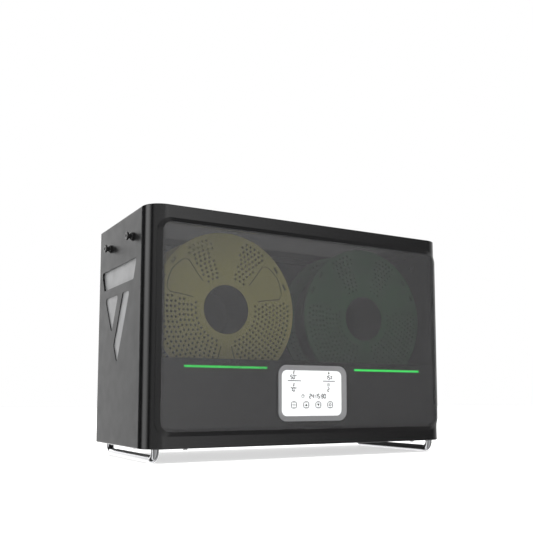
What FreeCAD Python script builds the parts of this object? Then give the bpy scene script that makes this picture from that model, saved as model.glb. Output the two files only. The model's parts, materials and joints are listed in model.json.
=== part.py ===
import FreeCAD, Part
import Sketcher
import math
import os
import re

# A four-bay filament dryer box on two rod feet, in millimetres.
# Z is up, the front looks towards -Y, and the feet stand on Z = 0.

# The sizes that drive every piece
SIZES = {
    # Cabinet
    "side_room": 19,
    "end_room": 32.4,
    "head_room": 19.5,
    "corner_radius": 25,
    "rear_radius": 8,
    "shell_wall": 4.5,
    "rim_radius": 1.2,
    "base_thick": 3,
    "fit_gap": 0.3,
    "running_gap": 0.05,
    # Feet
    "foot_height": 17,
    "foot_rod": 4.8,
    "foot_flat": 0.2,
    "foot_inset": 18,
    "foot_setback": 14,
    "leg_straight": 1.9,
    "stud_radius": 3,
    "stud_length": 12,
    "nut_height": 5,
    "nut_radius": 6,
    # Front window
    "panel_margin": 12,
    "panel_level": 14.7,
    "panel_drop": 16,
    "panel_corner": 18,
    "panel_raise": 3,
    "panel_bevel": 5.5,
    "panel_skin": 1.8,
    "panel_border": 4,
    "view_margin": 9,
    "view_bottom": 108.6,
    "view_drop": 22.5,
    # Display and light bars
    "display_level": 66.8,
    "screen_width": 92.8,
    "screen_height": 59.3,
    "screen_corner": 7.5,
    "bezel_rim": 6.5,
    "bezel_corner": 12.5,
    "bezel_edge": 1.2,
    "bezel_lip": 0.7,
    "screen_sink": 3,
    "screen_lap": 0.8,
    "screen_thick": 2.4,
    "board_thick": 1.6,
    "light_gap": 15.3,
    "light_margin": 35.6,
    "light_thick": 2.6,
    "light_level": 98.5,
    # Side trim
    "trim_centre": 11,
    "trim_plate": 0.6,
    "trim_corner": 4,
    "grip_drop": 60.3,
    "grip_height": 26.2,
    "grip_top_length": 145,
    "grip_low_length": 123,
    "grip_sink": 2.6,
    "trim_gap": 12,
    "vee_front": 47.5,
    "vee_rear": 55,
    "vee_drop": 91,
    "vee_arm": 28,
    "vee_gap": 18.4,
    "vee_sink": 1.3,
    # Tube outlets
    "outlet_spread": 45,
    "outlet_drop": 32,
    "outlet_radius": 5.2,
    "outlet_flange": 2.2,
    "outlet_slope": 1,
    "outlet_neck": 4.2,
    "outlet_depth": 14,
    "outlet_nut_height": 3.5,
    "outlet_nut_radius": 6.4,
    "thread_radius": 4,
    "stem_radius": 3,
    "stem_stop": 7,
    "tube_bore": 2.1,
    "strand_bore": 1.2,
    "collet_travel": 2,
    "collet_head": 2.6,
    "collet_chamfer": 0.5,
    # Inner liner, tray and seal
    "liner_gap": 0.5,
    "liner_wall": 2,
    "tray_level": 63,
    "tray_thick": 2.5,
    "ledge_width": 12,
    "ledge_thick": 2,
    "seal_width": 5,
    "seal_thick": 2,
    "seal_gap": 0.2,
    "post_radius": 5,
    "post_sink": 1,
    "post_spread": 175,
    "post_side": 45,
    # Lid
    "lid_height": 11.8,
    "lid_gap": 0.8,
    "lid_skin": 3,
    "lid_wall": 3,
    "pane_side_margin": 31,
    "pane_end_margin": 35,
    "pane_rebate": 5,
    "pane_corner": 10,
    "pull_width": 76,
    "pull_depth": 15,
    "pull_sink": 7,
    "pull_corner": 5,
    # Lid hinges
    "hinge_spread": 150,
    "hinge_out": 1.7,
    "hinge_drop": 5.5,
    "knuckle_radius": 4.5,
    "hinge_pin": 2,
    "lid_knuckle": 18,
    "wall_knuckle": 9,
    "knuckle_gap": 0.4,
    "arm_thick": 4,
    "notch_room": 1,
    "bracket_thick": 1.5,
    "bracket_height": 20,
    # Spools and winding
    "spool_radius": 100,
    "spool_width": 64,
    "spool_gap": 20,
    "bay_gap": 11.2,
    "spool_bore": 32,
    "spool_hub": 4,
    "spool_flange": 3,
    "rim_slot_inset": 7,
    "rim_slot_spread": 13,
    "rim_slot_width": 9,
    "rim_slot_height": 3.5,
    "winding_inset": 18,
    "winding_play": 0.6,
    # Rollers
    "roller_radius": 9,
    "roller_angle": 25,
    "roller_gap": 0.3,
    "roller_room": 1.4,
    "roller_collar": 2,
    "collar_rise": 2,
    "side_play": 1,
    "axle_radius": 3,
    "saddle_width": 14,
    "saddle_thick": 6,
    "saddle_cover": 2.4,
    "saddle_play": 0.6,
    # Fans and heaters
    "fan_size": 80,
    "fan_height": 25,
    "fan_wall": 2,
    "fan_boss": 14,
    "fan_floor": 3.5,
    "fan_strut": 6,
    "fan_hole_inset": 4.25,
    "fan_screw": 2,
    "fan_screw_head": 3.6,
    "fan_screw_shy": 0.5,
    "rotor_clear": 1.5,
    "rotor_hub": 15,
    "rotor_height": 18,
    "rotor_shaft": 1.5,
    "rotor_lift": 0.5,
    "blade_thick": 1.6,
    "blade_height": 13,
    "blade_root": 1,
    "heater_height": 15,
    "heater_border": 7,
    "fin_thick": 1.2,
    "intake_width": 4,
    "intake_length": 64,
    "intake_pitch": 10,
    "warm_width": 5.5,
    "warm_length": 59,
    "warm_pitch": 11,
    # Rear panel, inlet and switch
    "rear_width": 300,
    "rear_height": 50,
    "rear_level": 8,
    "rear_thick": 1.5,
    "rear_ledge": 8,
    "rear_corner": 5,
    "rear_slot_start": 120,
    "rear_slot_pitch": 10,
    "rear_slot_width": 4,
    "rear_slot_height": 30,
    "inlet_across": 40,
    "inlet_width": 27,
    "inlet_height": 19.6,
    "inlet_rim": 2.5,
    "inlet_lap": 2.5,
    "inlet_wall": 1.5,
    "inlet_depth": 18,
    "socket_depth": 15,
    "pin_length": 9,
    "pin_width": 2,
    "pin_height": 4,
    "pin_spread": 7,
    "pin_lift": 2.25,
    "switch_across": 85,
    "switch_width": 13,
    "switch_height": 19.2,
    "switch_rim": 2,
    "switch_lap": 1.5,
    "switch_wall": 1.1,
    "switch_floor": 2,
    "switch_depth": 12,
    "rocker_set": 1,
    "rocker_length": 15.2,
    "rocker_rise": 3.6,
    "rocker_dip": 1.2,
    "rocker_heel": 2.4,
    "rocker_belly": 3,
    "rocker_tilt": 8,
    "rocker_pin": 1,
    # Screws and inner boxes
    "screw_radius": 1.45,
    "screw_hole": 1.5,
    "screw_head": 2.8,
    "screw_head_high": 1.6,
    "base_screw_length": 12,
    "lid_screw_bite": 1,
    "supply_width": 50,
    "supply_depth": 96,
    "supply_height": 34,
    "supply_across": 33,
    "supply_along": 12,
    "supply_vent_width": 3,
    "supply_vent_length": 32,
    "supply_vent_pitch": 9.6,
    "supply_vent_sink": 2,
    "control_width": 50,
    "control_depth": 90,
    "control_across": 31,
    "control_along": 5,
    "stand_height": 6,
    "stand_radius": 3,
    "stand_inset": 5,
    "sensor_width": 30,
    "sensor_height": 20,
    "sensor_depth": 7,
    "sensor_drop": 82,
    "sensor_slot_width": 2,
    "sensor_slot_pitch": 5,
    "sensor_slot_height": 12,
    "sensor_slot_sink": 3.5,
}

# Positions that follow from the sizes, and how far a cutting solid runs past a face
DERIVED = {
    "past": "1",
    "body_width": "4*spool_radius + spool_gap + 2*side_room",
    "body_depth": "2*spool_width + bay_gap + 2*end_room",
    "body_height": "spool_up + spool_radius + head_room - underside",
    "underside": "foot_height",
    "top": "spool_up + spool_radius + head_room",
    "side": "body_width/2",
    "front": "-body_depth/2",
    "back": "body_depth/2",
    "inner_side": "side - shell_wall",
    "inner_back": "back - shell_wall",
    "inner_corner": "rear_radius/2",
    "base_top": "underside + base_thick",
    "foot_level": "foot_rod - foot_flat",
    "foot_bend": "foot_height - foot_level - leg_straight",
    "foot_across": "side - foot_inset",
    "foot_along": "back - foot_setback",
    "panel_width": "body_width - 2*panel_margin",
    "panel_face": "front - panel_raise",
    "panel_low": "underside + panel_level",
    "panel_high": "top - panel_drop",
    "view_width": "panel_width - 2*view_margin",
    "view_low": "underside + view_bottom",
    "view_high": "top - view_drop",
    "wall_end": "view_width/2",
    "front_bend": "front + corner_radius",
    "rear_bend": "back - rear_radius",
    "display_up": "underside + display_level",
    "bezel_face": "panel_face - bezel_lip",
    "screen_face": "bezel_face + screen_sink",
    "screen_back": "screen_face + screen_thick",
    "light_up": "underside + light_level",
    "light_start": "screen_width/2 + bezel_rim + light_gap",
    "light_length": "panel_width/2 - light_margin - light_start",
    "grip_high": "top - grip_drop",
    "grip_low": "grip_high - grip_height",
    "vee_high": "grip_low - trim_gap",
    "vee_width": "vee_front + vee_rear",
    "vee_start": "trim_centre - vee_front",
    "outlet_up": "top - outlet_drop",
    "outlet_hole": "thread_radius + fit_gap/2",
    "stem_hole": "stem_radius + running_gap",
    "tray_top": "underside + tray_level",
    "tray_low": "tray_top - tray_thick",
    "liner_inset": "shell_wall + liner_gap",
    "lid_low": "top - lid_height",
    "ledge_top": "lid_low - seal_gap - seal_thick",
    "ledge_low": "ledge_top - ledge_thick",
    "ledge_back": "back - liner_inset - ledge_width",
    "lid_inset": "shell_wall + lid_gap",
    "pane_thick": "lid_skin",
    "pane_width": "body_width - 2*pane_side_margin",
    "pane_depth": "body_depth - 2*pane_end_margin",
    "pull_front": "front + lid_inset + lid_wall",
    "hinge_back": "back + hinge_out",
    "hinge_up": "top - hinge_drop",
    "hinge_length": "2*wall_knuckle + lid_knuckle + 2*knuckle_gap",
    "arm_top": "top - lid_skin",
    "arm_low": "arm_top - arm_thick",
    "arm_front": "pane_depth/2 + pane_rebate + lid_wall + fit_gap",
    "notch_low": "hinge_up - knuckle_radius - notch_room",
    "notch_half": "hinge_length/2 + 2*knuckle_gap",
    "bracket_top": "notch_low - knuckle_gap",
    "bracket_low": "bracket_top - bracket_height",
    "spool_spread": "spool_radius + spool_gap/2",
    "spool_depth": "(spool_width + bay_gap)/2",
    "spool_up": "roller_up + roller_reach*cos(roller_angle)",
    "hub_radius": "spool_bore + spool_hub",
    "rim_slot_middle": "spool_radius - rim_slot_inset",
    "winding_radius": "spool_radius - winding_inset",
    "winding_length": "spool_width - 2*spool_flange - 2*winding_play",
    "roller_reach": "spool_radius + roller_gap + roller_radius",
    "roller_out": "roller_reach*sin(roller_angle)",
    "roller_up": "tray_top + roller_room + collar_rise + roller_radius",
    "roller_length": "spool_width + 2*side_play + 2*roller_collar",
    "saddle_end": "spool_depth + roller_length/2 + saddle_play",
    "saddle_high": "roller_up + axle_radius + saddle_cover",
    "axle_length": "2*(saddle_end + saddle_thick)",
    "post_across": "inner_side - post_radius + post_sink",
    "post_along": "inner_back - post_radius + post_sink",
    "heater_low": "tray_low - heater_height",
    "heater_opening": "fan_size - 2*heater_border",
    "fan_low": "heater_low - fan_height",
    "fan_duct": "fan_size/2 - fan_wall",
    "fan_hole_spread": "fan_size/2 - fan_hole_inset",
    "rotor_radius": "fan_duct - rotor_clear",
    "rotor_low": "fan_low + fan_floor + rotor_lift",
    "rear_low": "underside + rear_level",
    "rear_mid": "rear_low + rear_height/2",
    "rear_gap_half": "rear_width/2 - rear_ledge",
    "rear_gap_low": "rear_low + rear_ledge",
    "rear_gap_high": "rear_low + rear_height - rear_ledge",
    "rear_seat": "back - rear_thick",
    "socket_end": "back + inlet_rim - socket_depth",
    "rocker_back": "back - rocker_set",
    "rocker_width": "switch_width - 2*switch_wall - 2*fit_gap",
    "supply_high": "base_top + supply_height",
    "control_low": "base_top + stand_height",
    "sensor_back": "inner_back - liner_gap - liner_wall",
    "sensor_up": "top - sensor_drop",
}

BOTH_SIDES = (("left", -1), ("right", 1))
BLADES = 7
FINS = 11
BLADE_LEAN = 55
INTAKE_SLOTS = 7
WARM_SLOTS = 5
REAR_SLOTS = 12
SUPPLY_VENTS = 9
SENSOR_SLOTS = 5
LEVEL_TOLERANCE = 1e-6

# What stands on the control board: across, along, length, width and height, as shares of the board
BOARD_LOADS = ((-0.24, -0.27, 0.32, 0.22, 0.28), (0.20, -0.31, 0.28, 0.13, 0.20),
               (-0.12, 0.13, 0.44, 0.24, 0.06), (0.28, 0.31, 0.20, 0.20, 0.24),
               (-0.32, 0.42, 0.24, 0.11, 0.18))

Vector = FreeCAD.Vector
Rotation = FreeCAD.Rotation
ALONG = {
    "X": Rotation(Vector(0, 1, 0), 90),
    "Y": Rotation(Vector(1, 0, 0), -90),
    "Z": Rotation(),
}

doc = FreeCAD.newDocument("filament_dryer_box")
sheet = doc.addObject("Spreadsheet::Sheet", "sizes")
for row, (word, number) in enumerate(SIZES.items(), start=1):
    sheet.set("A%d" % row, word)
    sheet.set("B%d" % row, str(number))
    sheet.setAlias("B%d" % row, word)
doc.recompute()
gauge = doc.addObject("App::FeaturePython", "gauge")
gauge.addProperty("App::PropertyFloat", "reading")
nodes = []


def spelled(text):
    """An expression with its sizes and positions written out for the sheet."""
    def swap(found):
        word = found.group(0)
        if word in DERIVED:
            return "(" + spelled(DERIVED[word]) + ")"
        return "sizes." + word if word in SIZES else word
    return re.sub(r"[a-z_]+", swap, str(text))


def value(text):
    """The number an expression stands for."""
    gauge.setExpression("reading", spelled(text))
    gauge.recompute()
    return gauge.reading


def bind(thing, prop, text):
    """Ties one property of an object to the sheet."""
    thing.setExpression(prop, spelled(text))


def place(thing, where, turn=Rotation()):
    """Puts an object at three bound coordinates, turned by a fixed rotation."""
    thing.Placement = FreeCAD.Placement(Vector(), turn)
    for letter, text in zip("xyz", where):
        bind(thing, "Placement.Base." + letter, text)
    return thing


def node(name, thing):
    """Keeps an object as one piece of the assembly."""
    thing.Label = name
    nodes.append(thing)
    return thing


# Plain solids and their combinations
def span(name, low, high):
    """A box between two corners."""
    made = doc.addObject("Part::Box", name)
    for prop, start, end in zip(("Length", "Width", "Height"), low, high):
        bind(made, prop, "(%s) - (%s)" % (end, start))
    return place(made, low)


def block(name, centre, size):
    """A box around a centre."""
    low = ["(%s) - (%s)/2" % pair for pair in zip(centre, size)]
    high = ["(%s) + (%s)/2" % pair for pair in zip(centre, size)]
    return span(name, low, high)


def rod(name, axis, start, length, radius):
    """A cylinder that runs from a start point along an axis."""
    made = doc.addObject("Part::Cylinder", name)
    bind(made, "Radius", radius)
    bind(made, "Height", length)
    return place(made, start, ALONG[axis])


def hexagon(name, axis, start, length, radius):
    """A six-sided prism that runs from a start point along an axis."""
    made = doc.addObject("Part::Prism", name)
    made.Polygon = 6
    bind(made, "Circumradius", radius)
    bind(made, "Height", length)
    return place(made, start, ALONG[axis])


def fuse(name, parts):
    """One solid out of several that touch."""
    made = doc.addObject("Part::MultiFuse", name)
    made.Shapes = list(parts)
    made.Refine = True
    return made


def group(name, parts):
    """Several separate solids kept together."""
    made = doc.addObject("Part::Compound", name)
    made.Links = list(parts)
    return made


def divided(name, whole, rooms):
    """A wall in panels that meet edge to edge, one in each box."""
    panels = []
    for word, low, high in rooms:
        panel = doc.addObject("Part::Common", "%s_%s" % (name, word))
        panel.Base = whole
        panel.Tool = span("%s_%s_room" % (name, word), low, high)
        panels.append(panel)
    return group(name, panels)


def cut(name, base, tools):
    """A solid with other solids taken out of it."""
    tools = list(tools)
    made = doc.addObject("Part::Cut", name)
    made.Base = base
    made.Tool = tools[0] if len(tools) == 1 else fuse(name + "_tools", tools)
    return made


# Sketched solids
def sketch_on(body, name, plane, level):
    """A sketch on one of a body's own planes, moved to a level along its normal."""
    made = body.newObject("Sketcher::SketchObject", name)
    support = next(f for f in body.Origin.OriginFeatures if f.Role == plane + "_Plane")
    made.AttachmentSupport = (support, [""])
    made.MapMode = "FlatFace"
    bind(made, "AttachmentOffset.Base.z", "-(%s)" % level if plane == "XZ" else level)
    return made


def pin_down(sketch, geometry, point, across, up):
    """Holds one sketch point at two bound distances from the sketch's origin."""
    for kind, text in (("DistanceX", across), ("DistanceY", up)):
        rule = Sketcher.Constraint(kind, -1, 1, geometry, point, value(text))
        bind(sketch, "Constraints[%d]" % sketch.addConstraint(rule), text)


def hold_radius(sketch, geometry, text):
    """Binds the radius of one sketched arc or circle."""
    rule = Sketcher.Constraint("Radius", geometry, value(text))
    bind(sketch, "Constraints[%d]" % sketch.addConstraint(rule), text)


def line(sketch, start, end):
    """A straight sketch line between two points given as expressions."""
    ends = [Vector(value(across), value(up), 0) for across, up in (start, end)]
    return sketch.addGeometry(Part.LineSegment(*ends))


def arc(sketch, centre, radius, first):
    """A quarter arc that starts at a quarter of the circle, 0 to 3."""
    middle = Vector(value(centre[0]), value(centre[1]), 0)
    circle = Part.Circle(middle, Vector(0, 0, 1), value(radius))
    quarter = math.pi/2
    return sketch.addGeometry(Part.ArcOfCircle(circle, first*quarter, (first + 1)*quarter))


def join(sketch, first, first_point, second, second_point):
    """Makes the ends of two sketch edges meet."""
    sketch.addConstraint(Sketcher.Constraint("Coincident", first, first_point, second, second_point))


def polygon(points):
    """A drawing of a closed outline with straight edges."""
    def draw(sketch):
        count = len(points)
        edges = [line(sketch, points[i], points[(i + 1) % count]) for i in range(count)]
        for i in range(count):
            join(sketch, edges[i], 2, edges[(i + 1) % count], 1)
        for edge, point in zip(edges, points):
            pin_down(sketch, edge, 1, *point)
    return draw


def rounded(left, right, low, high, low_radius, high_radius=None):
    """A drawing of a rectangle with rounded corners."""
    high_radius = high_radius or low_radius
    ends = {
        "low": low_radius,
        "high": high_radius,
    }

    def corner(across, up):
        """The two tangent points and the centre of one corner."""
        radius = ends[up]
        inward = "-" if across == "right" else "+"
        upward = "-" if up == "high" else "+"
        edge_x = right if across == "right" else left
        edge_y = high if up == "high" else low
        centre_x = "(%s) %s (%s)" % (edge_x, inward, radius)
        centre_y = "(%s) %s (%s)" % (edge_y, upward, radius)
        return (centre_x, edge_y), (edge_x, centre_y), (centre_x, centre_y), radius

    def draw(sketch):
        round_trip = [corner("right", "low"), corner("right", "high"),
                      corner("left", "high"), corner("left", "low")]
        flats = []
        for i in range(4):
            flat_at = 1 if i % 2 == 0 else 0
            here, after = round_trip[i], round_trip[(i + 1) % 4]
            start, end = here[flat_at], after[flat_at]
            flats.append((line(sketch, start, end), start, end))
        arcs = [arc(sketch, c[2], c[3], (i + 3) % 4) for i, c in enumerate(round_trip)]
        for i in range(4):
            join(sketch, flats[i - 1][0], 2, arcs[i], 1)
            join(sketch, arcs[i], 2, flats[i][0], 1)
        for edge, start, end in flats:
            pin_down(sketch, edge, 1, *start)
            pin_down(sketch, edge, 2, *end)
        for edge, c in zip(arcs, round_trip):
            hold_radius(sketch, edge, c[3])
    return draw


def discs(spots, radius):
    """A drawing of equal circles."""
    def draw(sketch):
        for across, up in spots:
            middle = Vector(value(across), value(up), 0)
            edge = sketch.addGeometry(Part.Circle(middle, Vector(0, 0, 1), value(radius)))
            pin_down(sketch, edge, 3, across, up)
            hold_radius(sketch, edge, radius)
    return draw


def slab(name, plane, start, depth, drawing):
    """A drawing made solid from a start level along +X, +Y or +Z."""
    body = doc.addObject("PartDesign::Body", name)
    level = "(%s) + (%s)" % (start, depth) if plane == "XZ" else start
    sketch = sketch_on(body, name + "_outline", plane, level)
    drawing(sketch)
    pad = body.newObject("PartDesign::Pad", name + "_pad")
    pad.Profile = sketch
    bind(pad, "Length", depth)
    body.Tip = pad
    return body


def taper(name, plane, first, second):
    """A solid that runs from one drawing at its level to another."""
    body = doc.addObject("PartDesign::Body", name)
    ends = []
    for number, (level, drawing) in enumerate((first, second)):
        sketch = sketch_on(body, "%s_end_%d" % (name, number), plane, level)
        drawing(sketch)
        ends.append(sketch)
    loft = body.newObject("PartDesign::AdditiveLoft", name + "_loft")
    loft.Profile = ends[0]
    loft.Sections = [ends[1]]
    loft.Ruled = True
    body.Tip = loft
    return body


def turned(name, axis, points, where, turn=Rotation()):
    """A solid of revolution. Points are (radius, along), or (along, radius) for the X axis."""
    body = doc.addObject("PartDesign::Body", name)
    sketch = sketch_on(body, name + "_outline", "XZ" if axis == "Z" else "XY", "0")
    polygon(points)(sketch)
    revolved = body.newObject("PartDesign::Revolution", name + "_turn")
    revolved.Profile = sketch
    revolved.ReferenceAxis = (sketch, ["H_Axis" if axis == "X" else "V_Axis"])
    revolved.Angle = 360
    body.Tip = revolved
    return place(body, where, turn)


def soften(body, radius, chosen):
    """Rounds the edges of a body that a test picks out."""
    doc.recompute()
    base = body.Tip
    names = ["Edge%d" % (i + 1) for i, edge in enumerate(base.Shape.Edges) if chosen(edge)]
    rounding = body.newObject("PartDesign::Fillet", body.Name + "_rounding")
    rounding.Base = (base, names)
    bind(rounding, "Radius", radius)
    body.Tip = rounding
    return body


def footprint(inset):
    """A drawing of the cabinet's plan, drawn in from its outside."""
    rear = "rear_radius" if inset == "0" else "inner_corner"
    return rounded("-side + (%s)" % inset, "side - (%s)" % inset, "front + (%s)" % inset,
                   "back - (%s)" % inset, "corner_radius - (%s)" % inset, rear)


def panel_outline(inset, corner):
    """A drawing of the front panel, drawn in from its outer edge."""
    return rounded("-panel_width/2 + (%s)" % inset, "panel_width/2 - (%s)" % inset,
                   "panel_low + (%s)" % inset, "panel_high - (%s)" % inset, corner)


def display_outline(grow, corner):
    """A drawing of the screen's outline, grown by a margin."""
    return rounded("-screen_width/2 - (%s)" % grow, "screen_width/2 + (%s)" % grow,
                   "display_up - screen_height/2 - (%s)" % grow,
                   "display_up + screen_height/2 + (%s)" % grow, corner)


def pane_outline(grow):
    """A drawing of the lid's opening, grown by a margin."""
    return rounded("-pane_width/2 - (%s)" % grow, "pane_width/2 + (%s)" % grow,
                   "-pane_depth/2 - (%s)" % grow, "pane_depth/2 + (%s)" % grow,
                   "pane_corner + (%s)" % grow)


def on_level(edge, height):
    """Whether an edge lies flat at a height."""
    box = edge.BoundBox
    return abs(box.ZMin - height) < LEVEL_TOLERANCE and abs(box.ZMax - height) < LEVEL_TOLERANCE


def along_x(edge):
    """Whether a straight edge runs along X."""
    box = edge.BoundBox
    return box.YLength < LEVEL_TOLERANCE and box.ZLength < LEVEL_TOLERANCE


def spots(across, along):
    """Four points mirrored about both middle planes."""
    return [("%d*(%s)" % (i, across), "%d*(%s)" % (k, along)) for i in (-1, 1) for k in (-1, 1)]


POSTS = spots("post_spread", "post_along") + spots("post_across", "post_side")
LEGS = spots("foot_across", "foot_along")
FAN_HOLES = spots("fan_hole_spread", "fan_hole_spread")
REAR_SCREWS = [("%d*(rear_width/2 - rear_ledge/2)" % i, "rear_mid + %d*(rear_height/2 - rear_ledge/2)" % k)
               for i in (-1, 1) for k in (-1, 1)]
LID_SCREWS = [("%d*hinge_spread" % i, "arm_front + %s*screw_head" % k)
              for i in (-1, 1) for k in ("1.5", "4.5")]
HINGE_SCREWS = [("%d*hinge_spread + %d*bracket_height/2" % (i, k), "bracket_low + bracket_height/2")
                for i in (-1, 1) for k in (-1, 1)]


def screws(name, axis, seats, outward, length):
    """Pan-head screws. Each seat is the point under a head, and outward is +1 or -1 along the axis."""
    made = []
    place_of = "XYZ".index(axis)
    for number, seat in enumerate(seats):
        head_start, shank_start = list(seat), list(seat)
        inner = shank_start if outward > 0 else head_start
        inner[place_of] = "(%s) - (%s)" % (seat[place_of], length if outward > 0 else "screw_head_high")
        head = rod("%s_head_%d" % (name, number), axis, head_start, "screw_head_high", "screw_head")
        shank = rod("%s_shank_%d" % (name, number), axis, shank_start, length, "screw_radius")
        made.append(fuse("%s_%d" % (name, number), [head, shank]))
    return node(name, group(name, made))


def comb(count):
    """Steps to either side of a middle, for evenly spaced copies."""
    return [step - (count - 1)/2 for step in range(count)]


def holes(name, axis, starts, length, radius):
    """Rods to drill with."""
    return [rod("%s_%d" % (name, n), axis, start, length, radius) for n, start in enumerate(starts)]


# Side trim, drawn across Y and Z
def trim_drawings():
    """The three inlays of a side, each with the depth of its face below the side."""
    grip = [("trim_centre - grip_low_length/2", "grip_low"),
            ("trim_centre + grip_low_length/2", "grip_low"),
            ("trim_centre + grip_top_length/2", "grip_high"),
            ("trim_centre - grip_top_length/2", "grip_high")]
    slash = [("vee_start", "vee_high"), ("trim_centre", "vee_high - vee_drop"),
             ("trim_centre + vee_rear*vee_arm/vee_width",
              "vee_high - (vee_width - vee_arm)*vee_drop/vee_width"),
             ("vee_start + vee_arm", "vee_high")]
    wedge = [("vee_start + vee_arm + vee_gap", "vee_high"),
             ("trim_centre + vee_rear*(vee_arm + vee_gap)/vee_width",
              "vee_high - (vee_width - vee_arm - vee_gap)*vee_drop/vee_width"),
             ("trim_centre + vee_rear", "vee_high")]
    return (("grip", grip, "grip_sink"), ("slash", slash, "vee_sink"), ("wedge", wedge, "vee_sink"))


def trim_solids(name, way, start_depth, end_depth):
    """The inlays of one side between two depths below the side, as solids."""
    made = []
    for part, points, sink in trim_drawings():
        shallow, deep = start_depth.replace("sink", sink), end_depth.replace("sink", sink)
        start = "side - (%s)" % deep if way > 0 else "-side + (%s)" % shallow
        solid = slab("%s_%s" % (name, part), "YZ", start, "(%s) - (%s)" % (deep, shallow), polygon(points))
        made.append(soften(solid, "trim_corner", along_x))
    return made


def shell():
    """The outer wall of the cabinet with its inner posts and every opening."""
    form = slab("shell_form", "XY", "underside", "body_height", footprint("0"))
    levels = (value("underside"), value("top"))
    soften(form, "rim_radius", lambda edge: any(on_level(edge, level) for level in levels))
    hollow = slab("shell_hollow", "XY", "underside - past", "body_height + 2*past", footprint("shell_wall"))
    wall = cut("shell_wall_ring", form, [hollow])
    posts = [rod("post_%d" % n, "Z", (x, y, "base_top"), "tray_low - base_top", "post_radius")
             for n, (x, y) in enumerate(POSTS)]
    tools = holes("post_hole", "Z", [(x, y, "base_top - past") for x, y in POSTS],
                  "tray_low - base_top + 2*past", "screw_hole")
    tools.append(span("view_cut", ("-view_width/2", "front - past", "view_low"),
                      ("view_width/2", "front + corner_radius", "view_high")))
    tools.append(slab("display_cut", "XZ", "front - past", "shell_wall + 2*past",
                      display_outline("screen_lap + fit_gap", "screen_corner")))
    tools += holes("outlet_hole", "X", outlet_lines(), "body_width + 2*past", "outlet_hole")
    tools.append(slab("rear_recess", "XZ", "rear_seat", "rear_thick + past", rear_outline("fit_gap")))
    tools.append(slab("rear_opening", "XZ", "inner_back - past", "shell_wall + 2*past",
                      rear_outline("-rear_ledge")))
    tools += holes("wall_hole", "Y", [(x, "inner_back - past", z) for x, z in REAR_SCREWS + HINGE_SCREWS],
                   "shell_wall + 2*past", "screw_hole")
    for word, way in BOTH_SIDES:
        tools.append(span("hinge_notch_" + word,
                          ("%d*hinge_spread - notch_half" % way, "inner_back - past", "notch_low"),
                          ("%d*hinge_spread + notch_half" % way, "back + past", "top + past")))
        tools += trim_solids("recess_" + word, way, "-past", "sink + trim_plate")
    tools.append(span("swing_room", ("-inner_side", "inner_back - inner_corner - past", "hinge_up - fit_gap"),
                      ("inner_side", "back + past", "top + past")))
    whole = cut("shell_whole", fuse("shell_posted", [wall] + posts), tools)
    node("outer_shell", divided("outer_shell", whole, corner_rooms("rear_bend") + shell_rooms()))
    return form


def corner_rooms(rear):
    """Boxes around the two sides of a wall and its four corners."""
    rooms = []
    for word, way in BOTH_SIDES:
        near, far = ("-side - past", "-wall_end") if way < 0 else ("wall_end", "side + past")
        for place, start, end in (("front", "front - past", "front_bend"), ("side", "front_bend", rear),
                                  ("rear", rear, "back + past")):
            rooms.append((place + "_" + word, (near, start, "underside - past"), (far, end, "top + past")))
    return rooms


def room(word, across, along, up):
    """A box named by its ranges along the three axes."""
    return word, *zip(across, along, up)


def shell_rooms():
    """Boxes around the panels of the shell's front and back."""
    wide, ahead, behind = ("-wall_end", "wall_end"), ("front - past", "0"), ("0", "back + past")
    gap, low, high = ("-rear_gap_half", "rear_gap_half"), "underside - past", "top + past"
    return [room("head", wide, ahead, ("view_high", high)),
            room("apron", wide, ahead, (low, "view_low")),
            room("back", wide, behind, ("tray_low", high)),
            room("back_left", ("-wall_end", "-rear_gap_half"), behind, (low, "tray_low")),
            room("back_right", ("rear_gap_half", "wall_end"), behind, (low, "tray_low")),
            room("sill", gap, behind, (low, "rear_gap_low")),
            room("lintel", gap, behind, ("rear_gap_high", "tray_low"))]


def outlet_lines():
    """Where the lines through the front and the rear outlets start."""
    return [("-side - past", "%d*outlet_spread" % k, "outlet_up") for k in (-1, 1)]


def rear_outline(grow):
    """A drawing of the rear panel, grown by a margin."""
    return rounded("-rear_width/2 - (%s)" % grow, "rear_width/2 + (%s)" % grow,
                   "rear_low - (%s)" % grow, "rear_low + rear_height + (%s)" % grow,
                   "rear_corner" if grow == "-rear_ledge" else "rear_corner + (%s)" % grow)


def trims():
    """The pale inlays at the bottom of the side recesses."""
    for word, way in BOTH_SIDES:
        name = "side_trim_" + word
        node(name, group(name, trim_solids(name, way, "sink", "sink + trim_plate")))


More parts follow.
